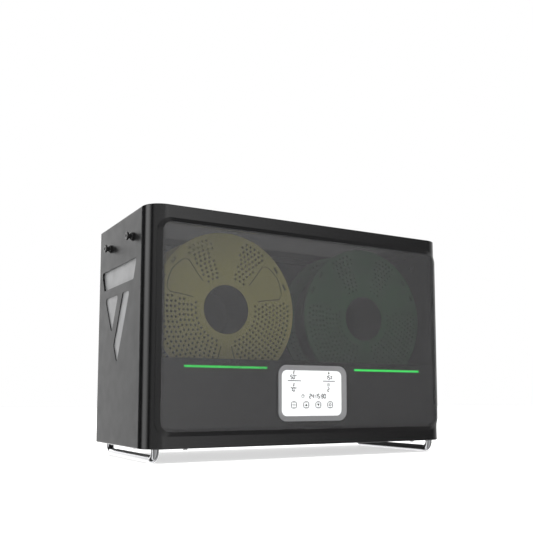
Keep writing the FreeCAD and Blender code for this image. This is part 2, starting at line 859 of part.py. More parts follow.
def base():
    """The floor plate with its air slots, and the two rod feet with their nuts."""
    plate = slab("base_form", "XY", "underside", "base_thick", footprint("shell_wall + fit_gap"))
    corners = spots("control_width/2 - stand_inset", "control_depth/2 - stand_inset")
    stands = [rod("board_stand_%d" % n, "Z",
                  ("-control_across + %s" % x, "control_along + %s" % y, "base_top - base_thick/2"),
                  "stand_height + base_thick/2", "stand_radius")
              for n, (x, y) in enumerate(corners)]
    tools = holes("leg_hole", "Z", [(x, y, "underside - past") for x, y in LEGS], "base_thick + 2*past",
                  "stud_radius + fit_gap/2")
    tools += holes("base_hole", "Z", [(x, y, "underside - past") for x, y in POSTS], "base_thick + 2*past",
                   "screw_hole")
    for word, way in BOTH_SIDES:
        for number, step in enumerate(comb(INTAKE_SLOTS)):
            tools.append(block("intake_%s_%d" % (word, number),
                               ("%d*spool_spread + %g*intake_pitch" % (way, step), "0", "underside"),
                               ("intake_width", "intake_length", "4*base_thick")))
    node("base_plate", cut("base_plate", fuse("base_stands", [plate] + stands), tools))
    nuts = []
    for number, (x, y) in enumerate(LEGS):
        nut = hexagon("nut_form_%d" % number, "Z", (x, y, "base_top"), "nut_height", "nut_radius")
        bore = holes("nut_hole_%d" % number, "Z", [(x, y, "base_top - past")], "nut_height + 2*past",
                     "stud_radius + running_gap")
        nuts.append(cut("nut_%d" % number, nut, bore))
    node("foot_nuts", group("foot_nuts", nuts))
    screws("base_screws", "Z", [(x, y, "underside") for x, y in POSTS], -1, "base_screw_length")
    for word, way in BOTH_SIDES:
        foot(word, way)


def foot(word, way):
    """One foot: a rod bent into a shallow U with a stud at each end and a flat underside."""
    body = doc.addObject("PartDesign::Body", "foot_rod_" + word)
    path = sketch_on(body, "foot_path_" + word, "YZ", "%d*foot_across" % way)
    bend_up = "foot_level + foot_bend"
    runs = [(("-foot_along", "underside"), ("-foot_along", bend_up)),
            (("-foot_along + foot_bend", "foot_level"), ("foot_along - foot_bend", "foot_level")),
            (("foot_along", bend_up), ("foot_along", "underside"))]
    lines = [line(path, start, end) for start, end in runs]
    arcs = [arc(path, ("-foot_along + foot_bend", bend_up), "foot_bend", 2),
            arc(path, ("foot_along - foot_bend", bend_up), "foot_bend", 3)]
    for i in range(2):
        join(path, lines[i], 2, arcs[i], 1)
        join(path, arcs[i], 2, lines[i + 1], 1)
    for edge, (start, end) in zip(lines, runs):
        pin_down(path, edge, 1, *start)
        pin_down(path, edge, 2, *end)
    for edge in arcs:
        hold_radius(path, edge, "foot_bend")
    section = sketch_on(body, "foot_section_" + word, "XY", "underside")
    discs([("%d*foot_across" % way, "-foot_along")], "foot_rod")(section)
    doc.recompute()
    pipe = body.newObject("PartDesign::AdditivePipe", "foot_pipe_" + word)
    pipe.Profile = section
    pipe.Spine = (path, ["Edge%d" % (i + 1) for i in range(len(path.Shape.Edges))])
    studs = sketch_on(body, "stud_section_" + word, "XY", "underside")
    discs([("%d*foot_across" % way, "%d*foot_along" % k) for k in (-1, 1)], "stud_radius")(studs)
    pad = body.newObject("PartDesign::Pad", "stud_pad_" + word)
    pad.Profile = studs
    bind(pad, "Length", "stud_length")
    body.Tip = pad
    floor = span("foot_floor_" + word, ("%d*foot_across - 2*foot_rod" % way, "front", "-2*foot_rod"),
                 ("%d*foot_across + 2*foot_rod" % way, "back", "0"))
    node("foot_bar_" + word, cut("foot_bar_" + word, body, [floor]))


def front_panel(form):
    """The raised smoked window, the display and the light bars behind it."""
    inside = "panel_corner - panel_bevel"
    face = taper("window_face", "XZ", ("front", panel_outline("0", "panel_corner")),
                 ("panel_face", panel_outline("panel_bevel", inside)))
    skirt = slab("window_skirt", "XZ", "front", "corner_radius/2", panel_outline("0", "panel_corner"))
    pocket = slab("window_pocket", "XZ", "panel_face + panel_skin", "corner_radius",
                  panel_outline("panel_bevel + panel_border", inside))
    port = slab("window_port", "XZ", "panel_face - past", "panel_raise + 2*past",
                display_outline("bezel_rim + fit_gap/2", "bezel_corner + fit_gap/2"))
    node("front_window", cut("front_window", fuse("window_form", [face, skirt]), [form, pocket, port]))
    ring = slab("bezel_form", "XZ", "bezel_face", "front - bezel_face",
                display_outline("bezel_rim", "bezel_corner"))
    funnel = taper("bezel_funnel", "XZ", ("screen_face", display_outline("0", "screen_corner")),
                   ("bezel_face", display_outline("bezel_rim - bezel_edge", "bezel_corner - bezel_edge")))
    seat = slab("bezel_seat", "XZ", "screen_face", "front - screen_face + past",
                display_outline("screen_lap + fit_gap/2", "screen_corner"))
    node("display_bezel", cut("display_bezel", ring, [funnel, seat]))
    for name, start, thick in (("display_screen", "screen_face", "screen_thick"),
                               ("display_board", "screen_back", "board_thick")):
        node(name, slab(name, "XZ", start, thick, display_outline("screen_lap", "screen_corner")))
    light_depth = "(panel_raise - panel_skin)"
    for word, way in BOTH_SIDES:
        name = "light_bar_" + word
        middle = ("%d*(light_start + light_length/2)" % way, "front - %s/2" % light_depth, "light_up")
        node(name, block(name, middle, ("light_length", light_depth, "light_thick")))


def liner():
    """The inner walls of the bays and the seal that the lid rests on."""
    outer = slab("liner_outer", "XY", "tray_top", "ledge_top - tray_top", footprint("liner_inset"))
    inner = slab("liner_inner", "XY", "tray_top - past", "ledge_low - tray_top + past",
                 footprint("liner_inset + liner_wall"))
    mouth = slab("liner_mouth", "XY", "ledge_low - past", "ledge_thick + 2*past",
                 footprint("liner_inset + ledge_width"))
    view = span("liner_view", ("-view_width/2", "front", "view_low"),
                ("view_width/2", "front + corner_radius", "ledge_low"))
    ways = holes("liner_hole", "X", outlet_lines(), "body_width + 2*past", "outlet_hole")
    whole = cut("liner_whole", outer, [inner, mouth, view] + ways)
    wide, ahead = ("-wall_end", "wall_end"), ("front", "0")
    rooms = corner_rooms("ledge_back")
    rooms += [room("apron", wide, ahead, ("tray_top - past", "view_low")),
              room("head", wide, ahead, ("ledge_low", "ledge_top + past")),
              room("back", wide, ("0", "back"), ("tray_top - past", "ledge_top + past"))]
    node("bay_liner", divided("bay_liner", whole, rooms))
    seal = slab("seal_outer", "XY", "ledge_top", "seal_thick", footprint("lid_inset"))
    gap = slab("seal_inner", "XY", "ledge_top - past", "seal_thick + 2*past",
               footprint("lid_inset + seal_width"))
    node("lid_seal", cut("lid_seal", seal, [gap]))


def tray():
    """The floor of the bays with saddles for the axles, slots for the warm air, and the rollers."""
    plate = slab("tray_form", "XY", "tray_low", "tray_thick", footprint("liner_inset"))
    saddles, tools, axles = [plate], [], []
    rests = (("0", "2*(spool_depth - roller_length/2 - saddle_play)"),
             ("-(saddle_end + saddle_thick/2)", "saddle_thick"),
             ("saddle_end + saddle_thick/2", "saddle_thick"))
    for number, across in enumerate(axle_places()):
        for rest, (along, thick) in enumerate(rests):
            low = ("%s - saddle_width/2" % across, "%s - (%s)/2" % (along, thick), "tray_low")
            high = ("%s + saddle_width/2" % across, "%s + (%s)/2" % (along, thick), "saddle_high")
            saddles.append(span("saddle_%d_%d" % (number, rest), low, high))
        start = (across, "-axle_length/2", "roller_up")
        tools.append(rod("axle_hole_%d" % number, "Y", start, "axle_length", "axle_radius + running_gap"))
        axles.append(rod("axle_%d" % number, "Y", start, "axle_length", "axle_radius"))
    tools += holes("tray_hole", "Z", [(x, y, "tray_low - past") for x, y in POSTS], "tray_thick + 2*past",
                   "screw_hole")
    for word, way in BOTH_SIDES:
        middle = "%d*spool_spread" % way
        corners = [("%s + %s" % (middle, x), y, "tray_low - past") for x, y in FAN_HOLES]
        tools += holes("fan_seat_" + word, "Z", corners, "tray_thick + 2*past", "fan_screw + running_gap")
        for number, step in enumerate(comb(WARM_SLOTS)):
            tools.append(block("warm_slot_%s_%d" % (word, number),
                               ("%s + %g*warm_pitch" % (middle, step), "0", "tray_low"),
                               ("warm_width", "warm_length", "4*tray_thick")))
    node("spool_tray", cut("spool_tray", fuse("tray_saddled", saddles), tools))
    node("roller_axles", group("roller_axles", axles))
    for number, across in enumerate(axle_places()):
        for word, way in (("front", -1), ("rear", 1)):
            roller("roller_%s_%d" % (word, number + 1), (across, "%d*spool_depth" % way, "roller_up"))


def axle_places():
    """The four axles across the box."""
    return ["(%d*spool_spread + %d*roller_out)" % (i, k) for i in (-1, 1) for k in (-1, 1)]


def roller(name, where):
    """A hollow roller: a sleeve between two collars."""
    end, shoulder = "roller_length/2", "roller_length/2 - roller_collar"
    bore, high = "axle_radius + running_gap", "roller_radius + collar_rise"
    rings = (("near_collar", high, "-(%s)" % end, "-(%s)" % shoulder),
             ("sleeve", "roller_radius", "-(%s)" % shoulder, shoulder),
             ("far_collar", high, shoulder, end))
    solids = []
    for word, radius, start, stop in rings:
        points = [(bore, start), (radius, start), (radius, stop), (bore, stop)]
        solids.append(turned("%s_%s" % (name, word), "Y", points, where))
    node(name, group(name, solids))


def spools():
    """Two spools with a winding each, in the two front bays."""
    half, inside = "spool_width/2", "spool_width/2 - spool_flange"
    points = [("spool_bore", "-(%s)" % half), ("spool_radius", "-(%s)" % half),
              ("spool_radius", "-(%s)" % inside), ("hub_radius", "-(%s)" % inside), ("hub_radius", inside),
              ("spool_radius", inside), ("spool_radius", half), ("spool_bore", half)]
    drum = [("hub_radius", "-winding_length/2"), ("winding_radius", "-winding_length/2"),
            ("winding_radius", "winding_length/2"), ("hub_radius", "winding_length/2")]
    for word, way in BOTH_SIDES:
        where = ("%d*spool_spread" % way, "-spool_depth", "spool_up")
        body = turned("spool_" + word, "Y", points, where)
        for k in (-1, 1):
            slot = sketch_on(body, "rim_slot_%s_%d" % (word, k + 1), "XZ", "-spool_width")
            middle = "%d*rim_slot_spread" % k
            polygon([("%s - rim_slot_width/2" % middle, "-rim_slot_middle - rim_slot_height/2"),
                     ("%s + rim_slot_width/2" % middle, "-rim_slot_middle - rim_slot_height/2"),
                     ("%s + rim_slot_width/2" % middle, "-rim_slot_middle + rim_slot_height/2"),
                     ("%s - rim_slot_width/2" % middle, "-rim_slot_middle + rim_slot_height/2")])(slot)
            pocket = body.newObject("PartDesign::Pocket", "rim_pocket_%s_%d" % (word, k + 1))
            pocket.Profile = slot
            bind(pocket, "Length", "2*spool_width")
            body.Tip = pocket
            around = body.newObject("PartDesign::PolarPattern", "rim_slots_%s_%d" % (word, k + 1))
            around.Originals = [pocket]
            around.Axis = (next(f for f in body.Origin.OriginFeatures if f.Role == "Y_Axis"), [""])
            around.Occurrences = 3
            around.Angle = 360
            body.Tip = around
        node("spool_" + word, body)
        node("filament_" + word, turned("filament_" + word, "Y", drum, where))


def outlets():
    """Four push-in tube outlets, each a threaded fitting with its nut and a sliding collet."""
    shoulder, inner = "outlet_neck + collet_travel", "collet_travel - stem_stop"
    end = shoulder + " + collet_head"
    blunt = "outlet_radius - collet_chamfer"
    fitting = [("-outlet_depth", "strand_bore"), ("-outlet_depth", "thread_radius"), ("0", "thread_radius"),
               ("0", "outlet_radius"), ("outlet_flange", "outlet_radius"),
               ("outlet_flange + outlet_slope", "thread_radius"), ("outlet_neck", "thread_radius"),
               ("outlet_neck", "stem_hole"), ("-stem_stop", "stem_hole"), ("-stem_stop", "strand_bore")]
    collet = [(inner, "tube_bore"), (inner, "stem_radius"), (shoulder, "stem_radius"), (shoulder, blunt),
              (shoulder + " + collet_chamfer", "outlet_radius"),
              (end + " - collet_chamfer", "outlet_radius"), (end, blunt), (end, "tube_bore")]
    nut_face = "side - liner_inset - liner_wall"
    fittings, nuts = [], []
    for word, way in BOTH_SIDES:
        turn = Rotation(Vector(0, 0, 1), 0 if way > 0 else 180)
        nut_start = nut_face + " - outlet_nut_height" if way > 0 else "-(%s)" % nut_face
        for spot, k in (("front", -1), ("rear", 1)):
            tag = "%s_%s" % (word, spot)
            along = "%d*outlet_spread" % k
            where = ("%d*side" % way, along, "outlet_up")
            fittings.append(turned("outlet_form_" + tag, "X", fitting, where, turn))
            nut = hexagon("outlet_nut_form_" + tag, "X", (nut_start, along, "outlet_up"),
                          "outlet_nut_height", "outlet_nut_radius")
            bore = holes("outlet_nut_hole_" + tag, "X", [(nut_start + " - past", along, "outlet_up")],
                         "outlet_nut_height + 2*past", "thread_radius + running_gap")
            nuts.append(cut("outlet_nut_" + tag, nut, bore))
            node("outlet_collet_" + tag, turned("outlet_collet_" + tag, "X", collet, where, turn))
    node("outlet_fittings", group("outlet_fittings", fittings))
    node("outlet_nuts", group("outlet_nuts", nuts))


def lid():
    """The inset lid with its smoked pane and a finger pull."""
    plate = slab("lid_form", "XY", "lid_low", "lid_height", footprint("lid_inset"))
    soften(plate, "rim_radius", lambda edge: on_level(edge, value("top")))
    hollow = slab("lid_hollow", "XY", "lid_low - past", "lid_height - lid_skin + past",
                  footprint("lid_inset + lid_wall"))
    island = slab("lid_island", "XY", "lid_low - 2*past", "lid_height + 2*past",
                  pane_outline("pane_rebate + lid_wall"))
    cup = span("pull_cup", ("-pull_width/2 - lid_wall", "pull_front - past", "lid_low - 2*past"),
               ("pull_width/2 + lid_wall", "pull_front + pull_depth + lid_wall", "top"))
    tools = [cut("lid_channel", hollow, [island, cup])]
    tools.append(slab("lid_opening", "XY", "lid_low - past", "lid_height + 2*past", pane_outline("0")))
    tools.append(slab("lid_rebate", "XY", "top - pane_thick", "pane_thick + past",
                      pane_outline("pane_rebate")))
    tools.append(slab("pull_pocket", "XY", "top - pull_sink", "pull_sink + past",
                      rounded("-pull_width/2", "pull_width/2", "pull_front", "pull_front + pull_depth",
                              "pull_corner")))
    for word, way in BOTH_SIDES:
        reach = "lid_knuckle/2 + fit_gap"
        tools.append(span("arm_notch_" + word,
                          ("%d*hinge_spread - (%s)" % (way, reach), "back - lid_inset - 2*lid_wall",
                           "lid_low - past"),
                          ("%d*hinge_spread + %s" % (way, reach), "back", "arm_top")))
    tools += holes("lid_pilot", "Z", [(x, y, "arm_low") for x, y in LID_SCREWS],
                   "arm_thick + lid_screw_bite", "screw_hole")
    node("lid_frame", cut("lid_frame", plate, tools))
    node("lid_window", slab("lid_window", "XY", "top - pane_thick", "pane_thick",
                            pane_outline("pane_rebate - fit_gap")))


def hinges():
    """Two hinges: an arm on the lid, a bracket on the rear wall, and a pin through both."""
    arms, brackets, pins = [], [], []
    for word, way in BOTH_SIDES:
        middle = "%d*hinge_spread" % way
        left, right = middle + " - hinge_length/2", middle + " + hinge_length/2"
        axis_start = (left + " - past", "hinge_back", "hinge_up")
        arm = span("arm_bar_" + word, (middle + " - lid_knuckle/2", "arm_front", "arm_low"),
                   (middle + " + lid_knuckle/2", "hinge_back", "arm_top"))
        barrel = rod("arm_barrel_" + word, "X", (middle + " - lid_knuckle/2", "hinge_back", "hinge_up"),
                     "lid_knuckle", "knuckle_radius")
        through_both = "hinge_length + 2*past"
        tools = holes("arm_bore_" + word, "X", [axis_start], through_both, "hinge_pin + running_gap")
        own_screws = [(x, y, "arm_low - past") for x, y in LID_SCREWS if x == middle]
        tools += holes("arm_hole_" + word, "Z", own_screws, "arm_thick + 2*past", "screw_hole")
        arms.append(cut("hinge_arm_" + word, fuse("arm_form_" + word, [arm, barrel]), tools))
        pieces = [span("bracket_plate_" + word, (left, "back", "bracket_low"),
                       (right, "back + bracket_thick", "bracket_top"))]
        for number, start in enumerate((left, right + " - wall_knuckle")):
            pieces.append(span("bracket_tab_%s_%d" % (word, number), (start, "back", "bracket_low"),
                               (start + " + wall_knuckle", "back + bracket_thick", "hinge_up")))
            pieces.append(rod("bracket_barrel_%s_%d" % (word, number), "X",
                              (start, "hinge_back", "hinge_up"), "wall_knuckle", "knuckle_radius"))
        tools = holes("bracket_bore_" + word, "X", [axis_start], through_both, "hinge_pin")
        tools += holes("bracket_drill_" + word, "Y",
                       [(x, "back - past", z) for x, z in HINGE_SCREWS if x.startswith(middle + " ")],
                       "bracket_thick + 2*past", "screw_hole")
        brackets.append(cut("hinge_bracket_" + word, fuse("bracket_form_" + word, pieces), tools))
        pins.append(rod("hinge_pin_" + word, "X", (left, "hinge_back", "hinge_up"), "hinge_length",
                        "hinge_pin"))
    node("lid_hinge_arms", group("lid_hinge_arms", arms))
    node("hinge_brackets", group("hinge_brackets", brackets))
    node("hinge_pins", group("hinge_pins", pins))
    screws("hinge_screws", "Y", [(x, "back + bracket_thick", z) for x, z in HINGE_SCREWS], 1,
           "bracket_thick + shell_wall")
    screws("lid_screws", "Z", [(x, y, "arm_low") for x, y in LID_SCREWS], -1, "arm_thick + lid_screw_bite")


def warm_air():
    """A fan and a finned heater under each pair of bays."""
    fan_screws = []
    for word, way in BOTH_SIDES:
        middle = "%d*spool_spread" % way
        corners = [("%s + %s" % (middle, x), y) for x, y in FAN_HOLES]
        heater("heater_" + word, middle, corners)
        fan("fan_frame_" + word, middle, corners)
        rotor("fan_rotor_" + word, middle)
        for number, (x, y) in enumerate(corners):
            tag = "%s_%d" % (word, number)
            start = (x, y, "fan_low - fan_screw")
            head = rod("fan_screw_head_" + tag, "Z", start, "fan_screw", "fan_screw_head")
            shank = rod("fan_screw_shank_" + tag, "Z", start,
                        "tray_top - fan_screw_shy - fan_low + fan_screw", "fan_screw")
            fan_screws.append(fuse("fan_screw_" + tag, [head, shank]))
    node("fan_screws", group("fan_screws", fan_screws))


def heater(name, middle, corners):
    """A square frame filled with thin fins."""
    centre = (middle, "0", "heater_low + heater_height/2")
    frame = block(name + "_frame", centre, ("fan_size", "fan_size", "heater_height"))
    window = block(name + "_window", centre, ("heater_opening", "heater_opening", "2*heater_height"))
    parts = [cut(name + "_ring", frame, [window])]
    for fin, step in enumerate(comb(FINS)):
        across = "%s + %g*heater_opening/%d" % (middle, step, FINS)
        parts.append(block("%s_fin_%d" % (name, fin), (across,) + centre[1:],
                           ("fin_thick", "heater_opening + heater_border", "heater_height")))
    tools = holes(name + "_hole", "Z", [(x, y, "heater_low - past") for x, y in corners],
                  "heater_height + 2*past", "fan_screw + running_gap")
    node(name, cut(name, fuse(name + "_finned", parts), tools))


def fan(name, middle, corners):
    """A square fan frame with a round duct, two struts and a bearing."""
    frame = block(name + "_form", (middle, "0", "fan_low + fan_height/2"),
                  ("fan_size", "fan_size", "fan_height"))
    duct = rod(name + "_duct", "Z", (middle, "0", "fan_low - past"), "fan_height + 2*past", "fan_duct")
    strut_at = (middle, "0", "fan_low + fan_floor/2")
    parts = [cut(name + "_ducted", frame, [duct]),
             rod(name + "_boss", "Z", (middle, "0", "fan_low"), "fan_floor", "fan_boss"),
             block(name + "_strut_x", strut_at, ("2*fan_duct + fan_wall", "fan_strut", "fan_floor")),
             block(name + "_strut_y", strut_at, ("fan_strut", "2*fan_duct + fan_wall", "fan_floor"))]
    tools = holes(name + "_hole", "Z", [(x, y, "fan_low - past") for x, y in corners],
                  "fan_height + 2*past", "fan_screw + running_gap")
    tools.append(rod(name + "_bearing", "Z", (middle, "0", "fan_low - past"), "fan_floor + 2*past",
                     "rotor_shaft + running_gap"))
    node(name, cut(name, fuse(name + "_strutted", parts), tools))


def rotor(name, middle):
    """A hub with tilted blades and a short shaft."""
    parts = [rod(name + "_hub", "Z", (middle, "0", "rotor_low"), "rotor_height", "rotor_hub"),
             rod(name + "_shaft", "Z", (middle, "0", "fan_low + rotor_lift"), "fan_floor + rotor_lift",
                 "rotor_shaft")]
    centre = (middle, "0", "rotor_low + rotor_height/2")
    offset = ("rotor_hub - blade_root", "-blade_thick/2", "-blade_height/2")
    for blade in range(BLADES):
        turn = Rotation(Vector(0, 0, 1), 360*blade/BLADES).multiply(Rotation(Vector(1, 0, 0), BLADE_LEAN))
        axes = [turn.multVec(Vector(*unit)) for unit in ((1, 0, 0), (0, 1, 0), (0, 0, 1))]
        where = []
        for letter, text in zip("xyz", centre):
            terms = ["%.9f*(%s)" % (getattr(axis, letter), part) for axis, part in zip(axes, offset)]
            where.append("%s + %s" % (text, " + ".join(terms)))
        made = doc.addObject("Part::Box", "%s_blade_%d" % (name, blade))
        for prop, text in (("Length", "rotor_radius - rotor_hub + blade_root"), ("Width", "blade_thick"),
                           ("Height", "blade_height")):
            bind(made, prop, text)
        parts.append(place(made, where, turn))
    node(name, fuse(name, parts))


def rear():
    """The rear service panel with the mains inlet and the power switch."""
    plate = slab("rear_form", "XZ", "rear_seat", "rear_thick", rear_outline("0"))
    cuts = (("inlet_cut", "inlet_across", "inlet_width + fit_gap", "inlet_height + fit_gap"),
            ("switch_cut", "switch_across", "switch_width + fit_gap", "switch_height + fit_gap"))
    tools = [rear_block(name, across, width, height, "rear_seat - past", "back + past")
             for name, across, width, height in cuts]
    tools += holes("rear_drill", "Y", [(x, "rear_seat - past", z) for x, z in REAR_SCREWS],
                   "rear_thick + 2*past", "screw_hole")
    for slot in range(REAR_SLOTS):
        tools.append(rear_block("rear_slot_%d" % slot, "-rear_slot_start + %d*rear_slot_pitch" % slot,
                                "rear_slot_width", "rear_slot_height", "rear_seat - past", "back + past"))
    node("rear_panel", cut("rear_panel", plate, tools))
    screws("rear_screws", "Y", [(x, "back", z) for x, z in REAR_SCREWS], 1, "shell_wall")
    inlet()
    switch()


def rear_block(name, across, width, height, start, end):
    """A box around a point halfway up the rear panel, between two depths."""
    return span(name, ("%s - (%s)/2" % (across, width), start, "rear_mid - (%s)/2" % height),
                ("%s + (%s)/2" % (across, width), end, "rear_mid + (%s)/2" % height))


def inlet():
    """A three-pin mains inlet."""
    rim = rear_block("inlet_rim_form", "inlet_across", "inlet_width + 2*inlet_lap",
                     "inlet_height + 2*inlet_lap", "back", "back + inlet_rim")
    body = rear_block("inlet_body_form", "inlet_across", "inlet_width", "inlet_height",
                      "back - inlet_depth", "back + inlet_rim")
    room = rear_block("inlet_room", "inlet_across", "inlet_width - 2*inlet_wall",
                      "inlet_height - 2*inlet_wall", "socket_end", "back + inlet_rim + past")
    node("power_inlet", cut("power_inlet", fuse("inlet_form", [rim, body]), [room]))
    pins = []
    for number, (across, up) in enumerate((("-pin_spread", "-pin_lift"), ("0", "pin_lift"),
                                           ("pin_spread", "-pin_lift"))):
        centre = ("inlet_across + %s" % across, "socket_end + pin_length/2", "rear_mid + %s" % up)
        pins.append(block("inlet_pin_%d" % number, centre, ("pin_width", "pin_length", "pin_height")))
    node("inlet_pins", group("inlet_pins", pins))


def switch():
    """A rocker switch, resting on its lower half."""
    rim = rear_block("switch_rim", "switch_across", "switch_width + 2*switch_lap",
                     "switch_height + 2*switch_lap", "back", "back + switch_rim")
    body = rear_block("switch_body", "switch_across", "switch_width", "switch_height",
                      "back - switch_depth", "back + switch_rim")
    room = rear_block("switch_room", "switch_across", "switch_width - 2*switch_wall",
                      "switch_height - 2*switch_wall", "back - switch_depth + switch_floor",
                      "back + switch_rim + past")
    hole = holes("switch_hole", "X", [("switch_across - switch_width/2 - past", "rocker_back", "rear_mid")],
                 "switch_width + 2*past", "rocker_pin + running_gap")
    node("switch_housing", cut("switch_housing", fuse("switch_form", [rim, body]), [room] + hole))
    end = "rocker_length/2"
    outline = [("rocker_rise", "-" + end), ("rocker_rise - rocker_dip", "0"), ("rocker_rise", end),
               ("-rocker_heel", end), ("-rocker_belly", "0"), ("-rocker_heel", "-" + end)]
    rocker = slab("switch_rocker", "YZ", "-rocker_width/2", "rocker_width", polygon(outline))
    pivot = sketch_on(rocker, "rocker_pivot", "YZ", "-switch_width/2 + fit_gap")
    discs([("0", "0")], "rocker_pin")(pivot)
    pins = rocker.newObject("PartDesign::Pad", "rocker_pins")
    pins.Profile = pivot
    bind(pins, "Length", "switch_width - 2*fit_gap")
    rocker.Tip = pins
    turn = Rotation(Vector(1, 0, 0), value("rocker_tilt"))
    node("switch_rocker", place(rocker, ("switch_across", "rocker_back", "rear_mid"), turn))


def electronics():
    """The supply, the control board and the humidity sensor."""
    case = block("supply_case", ("supply_across", "supply_along", "base_top + supply_height/2"),
                 ("supply_width", "supply_depth", "supply_height"))
    vents = [block("supply_vent_%d" % n,
                   ("supply_across", "supply_along + %g*supply_vent_pitch" % step, "supply_high"),
                   ("supply_vent_length", "supply_vent_width", "2*supply_vent_sink"))
             for n, step in enumerate(comb(SUPPLY_VENTS))]
    node("power_supply", cut("power_supply", case, vents))
    card = block("control_card", ("-control_across", "control_along", "control_low + board_thick/2"),
                 ("control_width", "control_depth", "board_thick"))
    parts = [card]
    for number, (across, along, long, wide, high) in enumerate(BOARD_LOADS):
        centre = ("-control_across + %g*control_width" % across, "control_along + %g*control_depth" % along,
                  "control_low + %g*control_width/2" % high)
        parts.append(block("control_load_%d" % number, centre, ("%g*control_width" % long,
                                                               "%g*control_depth" % wide,
                                                               "%g*control_width" % high)))
    node("control_board", fuse("control_board", parts))
    case = block("sensor_case", ("0", "sensor_back - sensor_depth/2", "sensor_up"),
                 ("sensor_width", "sensor_depth", "sensor_height"))
    slots = [block("sensor_slot_%d" % n,
                   ("%g*sensor_slot_pitch" % step, "sensor_back - sensor_depth", "sensor_up"),
                   ("sensor_slot_width", "2*sensor_slot_sink", "sensor_slot_height"))
             for n, step in enumerate(comb(SENSOR_SLOTS))]
    node("humidity_sensor", cut("humidity_sensor", case, slots))


cabinet_form = shell()
trims()
base()
front_panel(cabinet_form)
liner()
tray()
spools()
outlets()
lid()
hinges()
warm_air()
rear()
electronics()
doc.recompute()

# Every object has to be sound before its file is written
os.makedirs("parts", exist_ok=True)
bad = [thing.Name for thing in doc.Objects if "Invalid" in thing.State or "Error" in thing.State]
for piece in nodes:
    if piece.Shape.isNull() or not piece.Shape.isValid() or not piece.Shape.Solids:
        bad.append(piece.Label)
if bad:
    raise RuntimeError("Unsound: " + ", ".join(bad))
for piece in nodes:
    piece.Shape.exportStep("parts/%s.step" % piece.Label)
print("%d pieces written" % len(nodes))
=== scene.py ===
import bmesh
import bpy
import json
import math
from mathutils import Matrix, Vector

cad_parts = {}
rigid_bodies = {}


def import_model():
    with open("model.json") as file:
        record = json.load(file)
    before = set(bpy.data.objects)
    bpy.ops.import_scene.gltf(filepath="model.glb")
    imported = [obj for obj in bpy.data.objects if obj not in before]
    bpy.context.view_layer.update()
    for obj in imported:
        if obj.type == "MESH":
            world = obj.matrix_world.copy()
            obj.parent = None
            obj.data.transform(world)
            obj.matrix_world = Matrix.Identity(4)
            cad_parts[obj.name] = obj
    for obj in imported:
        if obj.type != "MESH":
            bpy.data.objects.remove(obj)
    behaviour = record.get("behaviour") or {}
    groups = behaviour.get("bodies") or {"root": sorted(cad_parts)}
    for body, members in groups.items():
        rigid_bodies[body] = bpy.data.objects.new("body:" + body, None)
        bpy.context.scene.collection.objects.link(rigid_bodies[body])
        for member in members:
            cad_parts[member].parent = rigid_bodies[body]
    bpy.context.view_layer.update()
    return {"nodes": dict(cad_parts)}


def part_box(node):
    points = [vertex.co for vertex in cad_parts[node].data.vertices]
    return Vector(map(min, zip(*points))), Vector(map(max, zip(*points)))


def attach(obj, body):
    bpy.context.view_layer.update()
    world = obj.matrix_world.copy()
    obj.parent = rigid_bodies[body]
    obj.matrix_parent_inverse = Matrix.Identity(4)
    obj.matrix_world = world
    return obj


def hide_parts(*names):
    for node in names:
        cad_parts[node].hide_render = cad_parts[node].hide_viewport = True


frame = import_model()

nodes = frame["nodes"]
scene = bpy.context.scene
FULL_TURN = 2*math.pi
ALONG_X, ALONG_Y, ALONG_Z = (1, 0, 0), (0, 1, 0), (0, 0, 1)


# Steps that node trees share

# Sockets of a Mix node that is set to colours
MIX_FIRST, MIX_SECOND, MIX_RESULT = 6, 7, 2


def wire(tree, start, end):
    """Joins two sockets of a node tree."""
    tree.links.new(start, end)


def feed(tree, socket, given):
    """Gives a socket another socket's output or a constant."""
    if isinstance(given, bpy.types.NodeSocket):
        wire(tree, given, socket)
    else:
        socket.default_value = given


def step(tree, operation, *given):
    """One step of arithmetic."""
    node = tree.nodes.new("ShaderNodeMath")
    node.operation = operation
    for socket, number in zip(node.inputs, given):
        feed(tree, socket, number)
    return node.outputs[0]


def spread(tree, number, old, new):
    """A number carried over from one range to another."""
    node = tree.nodes.new("ShaderNodeMapRange")
    for word, (low, high) in (("From", old), ("To", new)):
        node.inputs[word + " Min"].default_value = low
        node.inputs[word + " Max"].default_value = high
    wire(tree, number, node.inputs["Value"])
    return node.outputs["Result"]


def blend_colours(tree, factor, first, second, blend="MIX"):
    """A colour out of two, each a plain colour or a socket."""
    mix = tree.nodes.new("ShaderNodeMix")
    mix.data_type = "RGBA"
    mix.blend_type = blend
    feed(tree, mix.inputs["Factor"], factor)
    for socket, colour in ((mix.inputs[MIX_FIRST], first), (mix.inputs[MIX_SECOND], second)):
        feed(tree, socket, colour if isinstance(colour, bpy.types.NodeSocket) else (*colour, 1))
    return mix.outputs[MIX_RESULT]


# Materials

# The range that most of a noise texture stays in
NOISE_RANGE = (0.3, 0.7)
# Scales of the noise in colour and gloss, the detail of noise and grain, and the grain's depth
CLOUD_SCALE, GLOSS_SCALE = 22.0, 60.0
SOFT_DETAIL, GRAIN_DETAIL = 3.0, 2.0
GRAIN_DEPTH = 0.00005
# How nearly a face has to look along a direction to count as flat, and as the plain side of the box
FLAT_LIMIT, SIDE_LIMIT = 0.97, 0.999
# The same for the smoked panes, with how much darker than its colour a pane gets
PANE_IOR = 1.49
PANE_CLOUD_SCALE, PANE_GLOSS_SCALE, PANE_GRAIN_SCALE = 9.0, 35.0, 1800.0
PANE_SHADE = 0.96
PANE_ROUGHNESS = (0.20, 0.25)
PANE_GRIT, PANE_GRAIN_DEPTH = 0.02, 0.00001


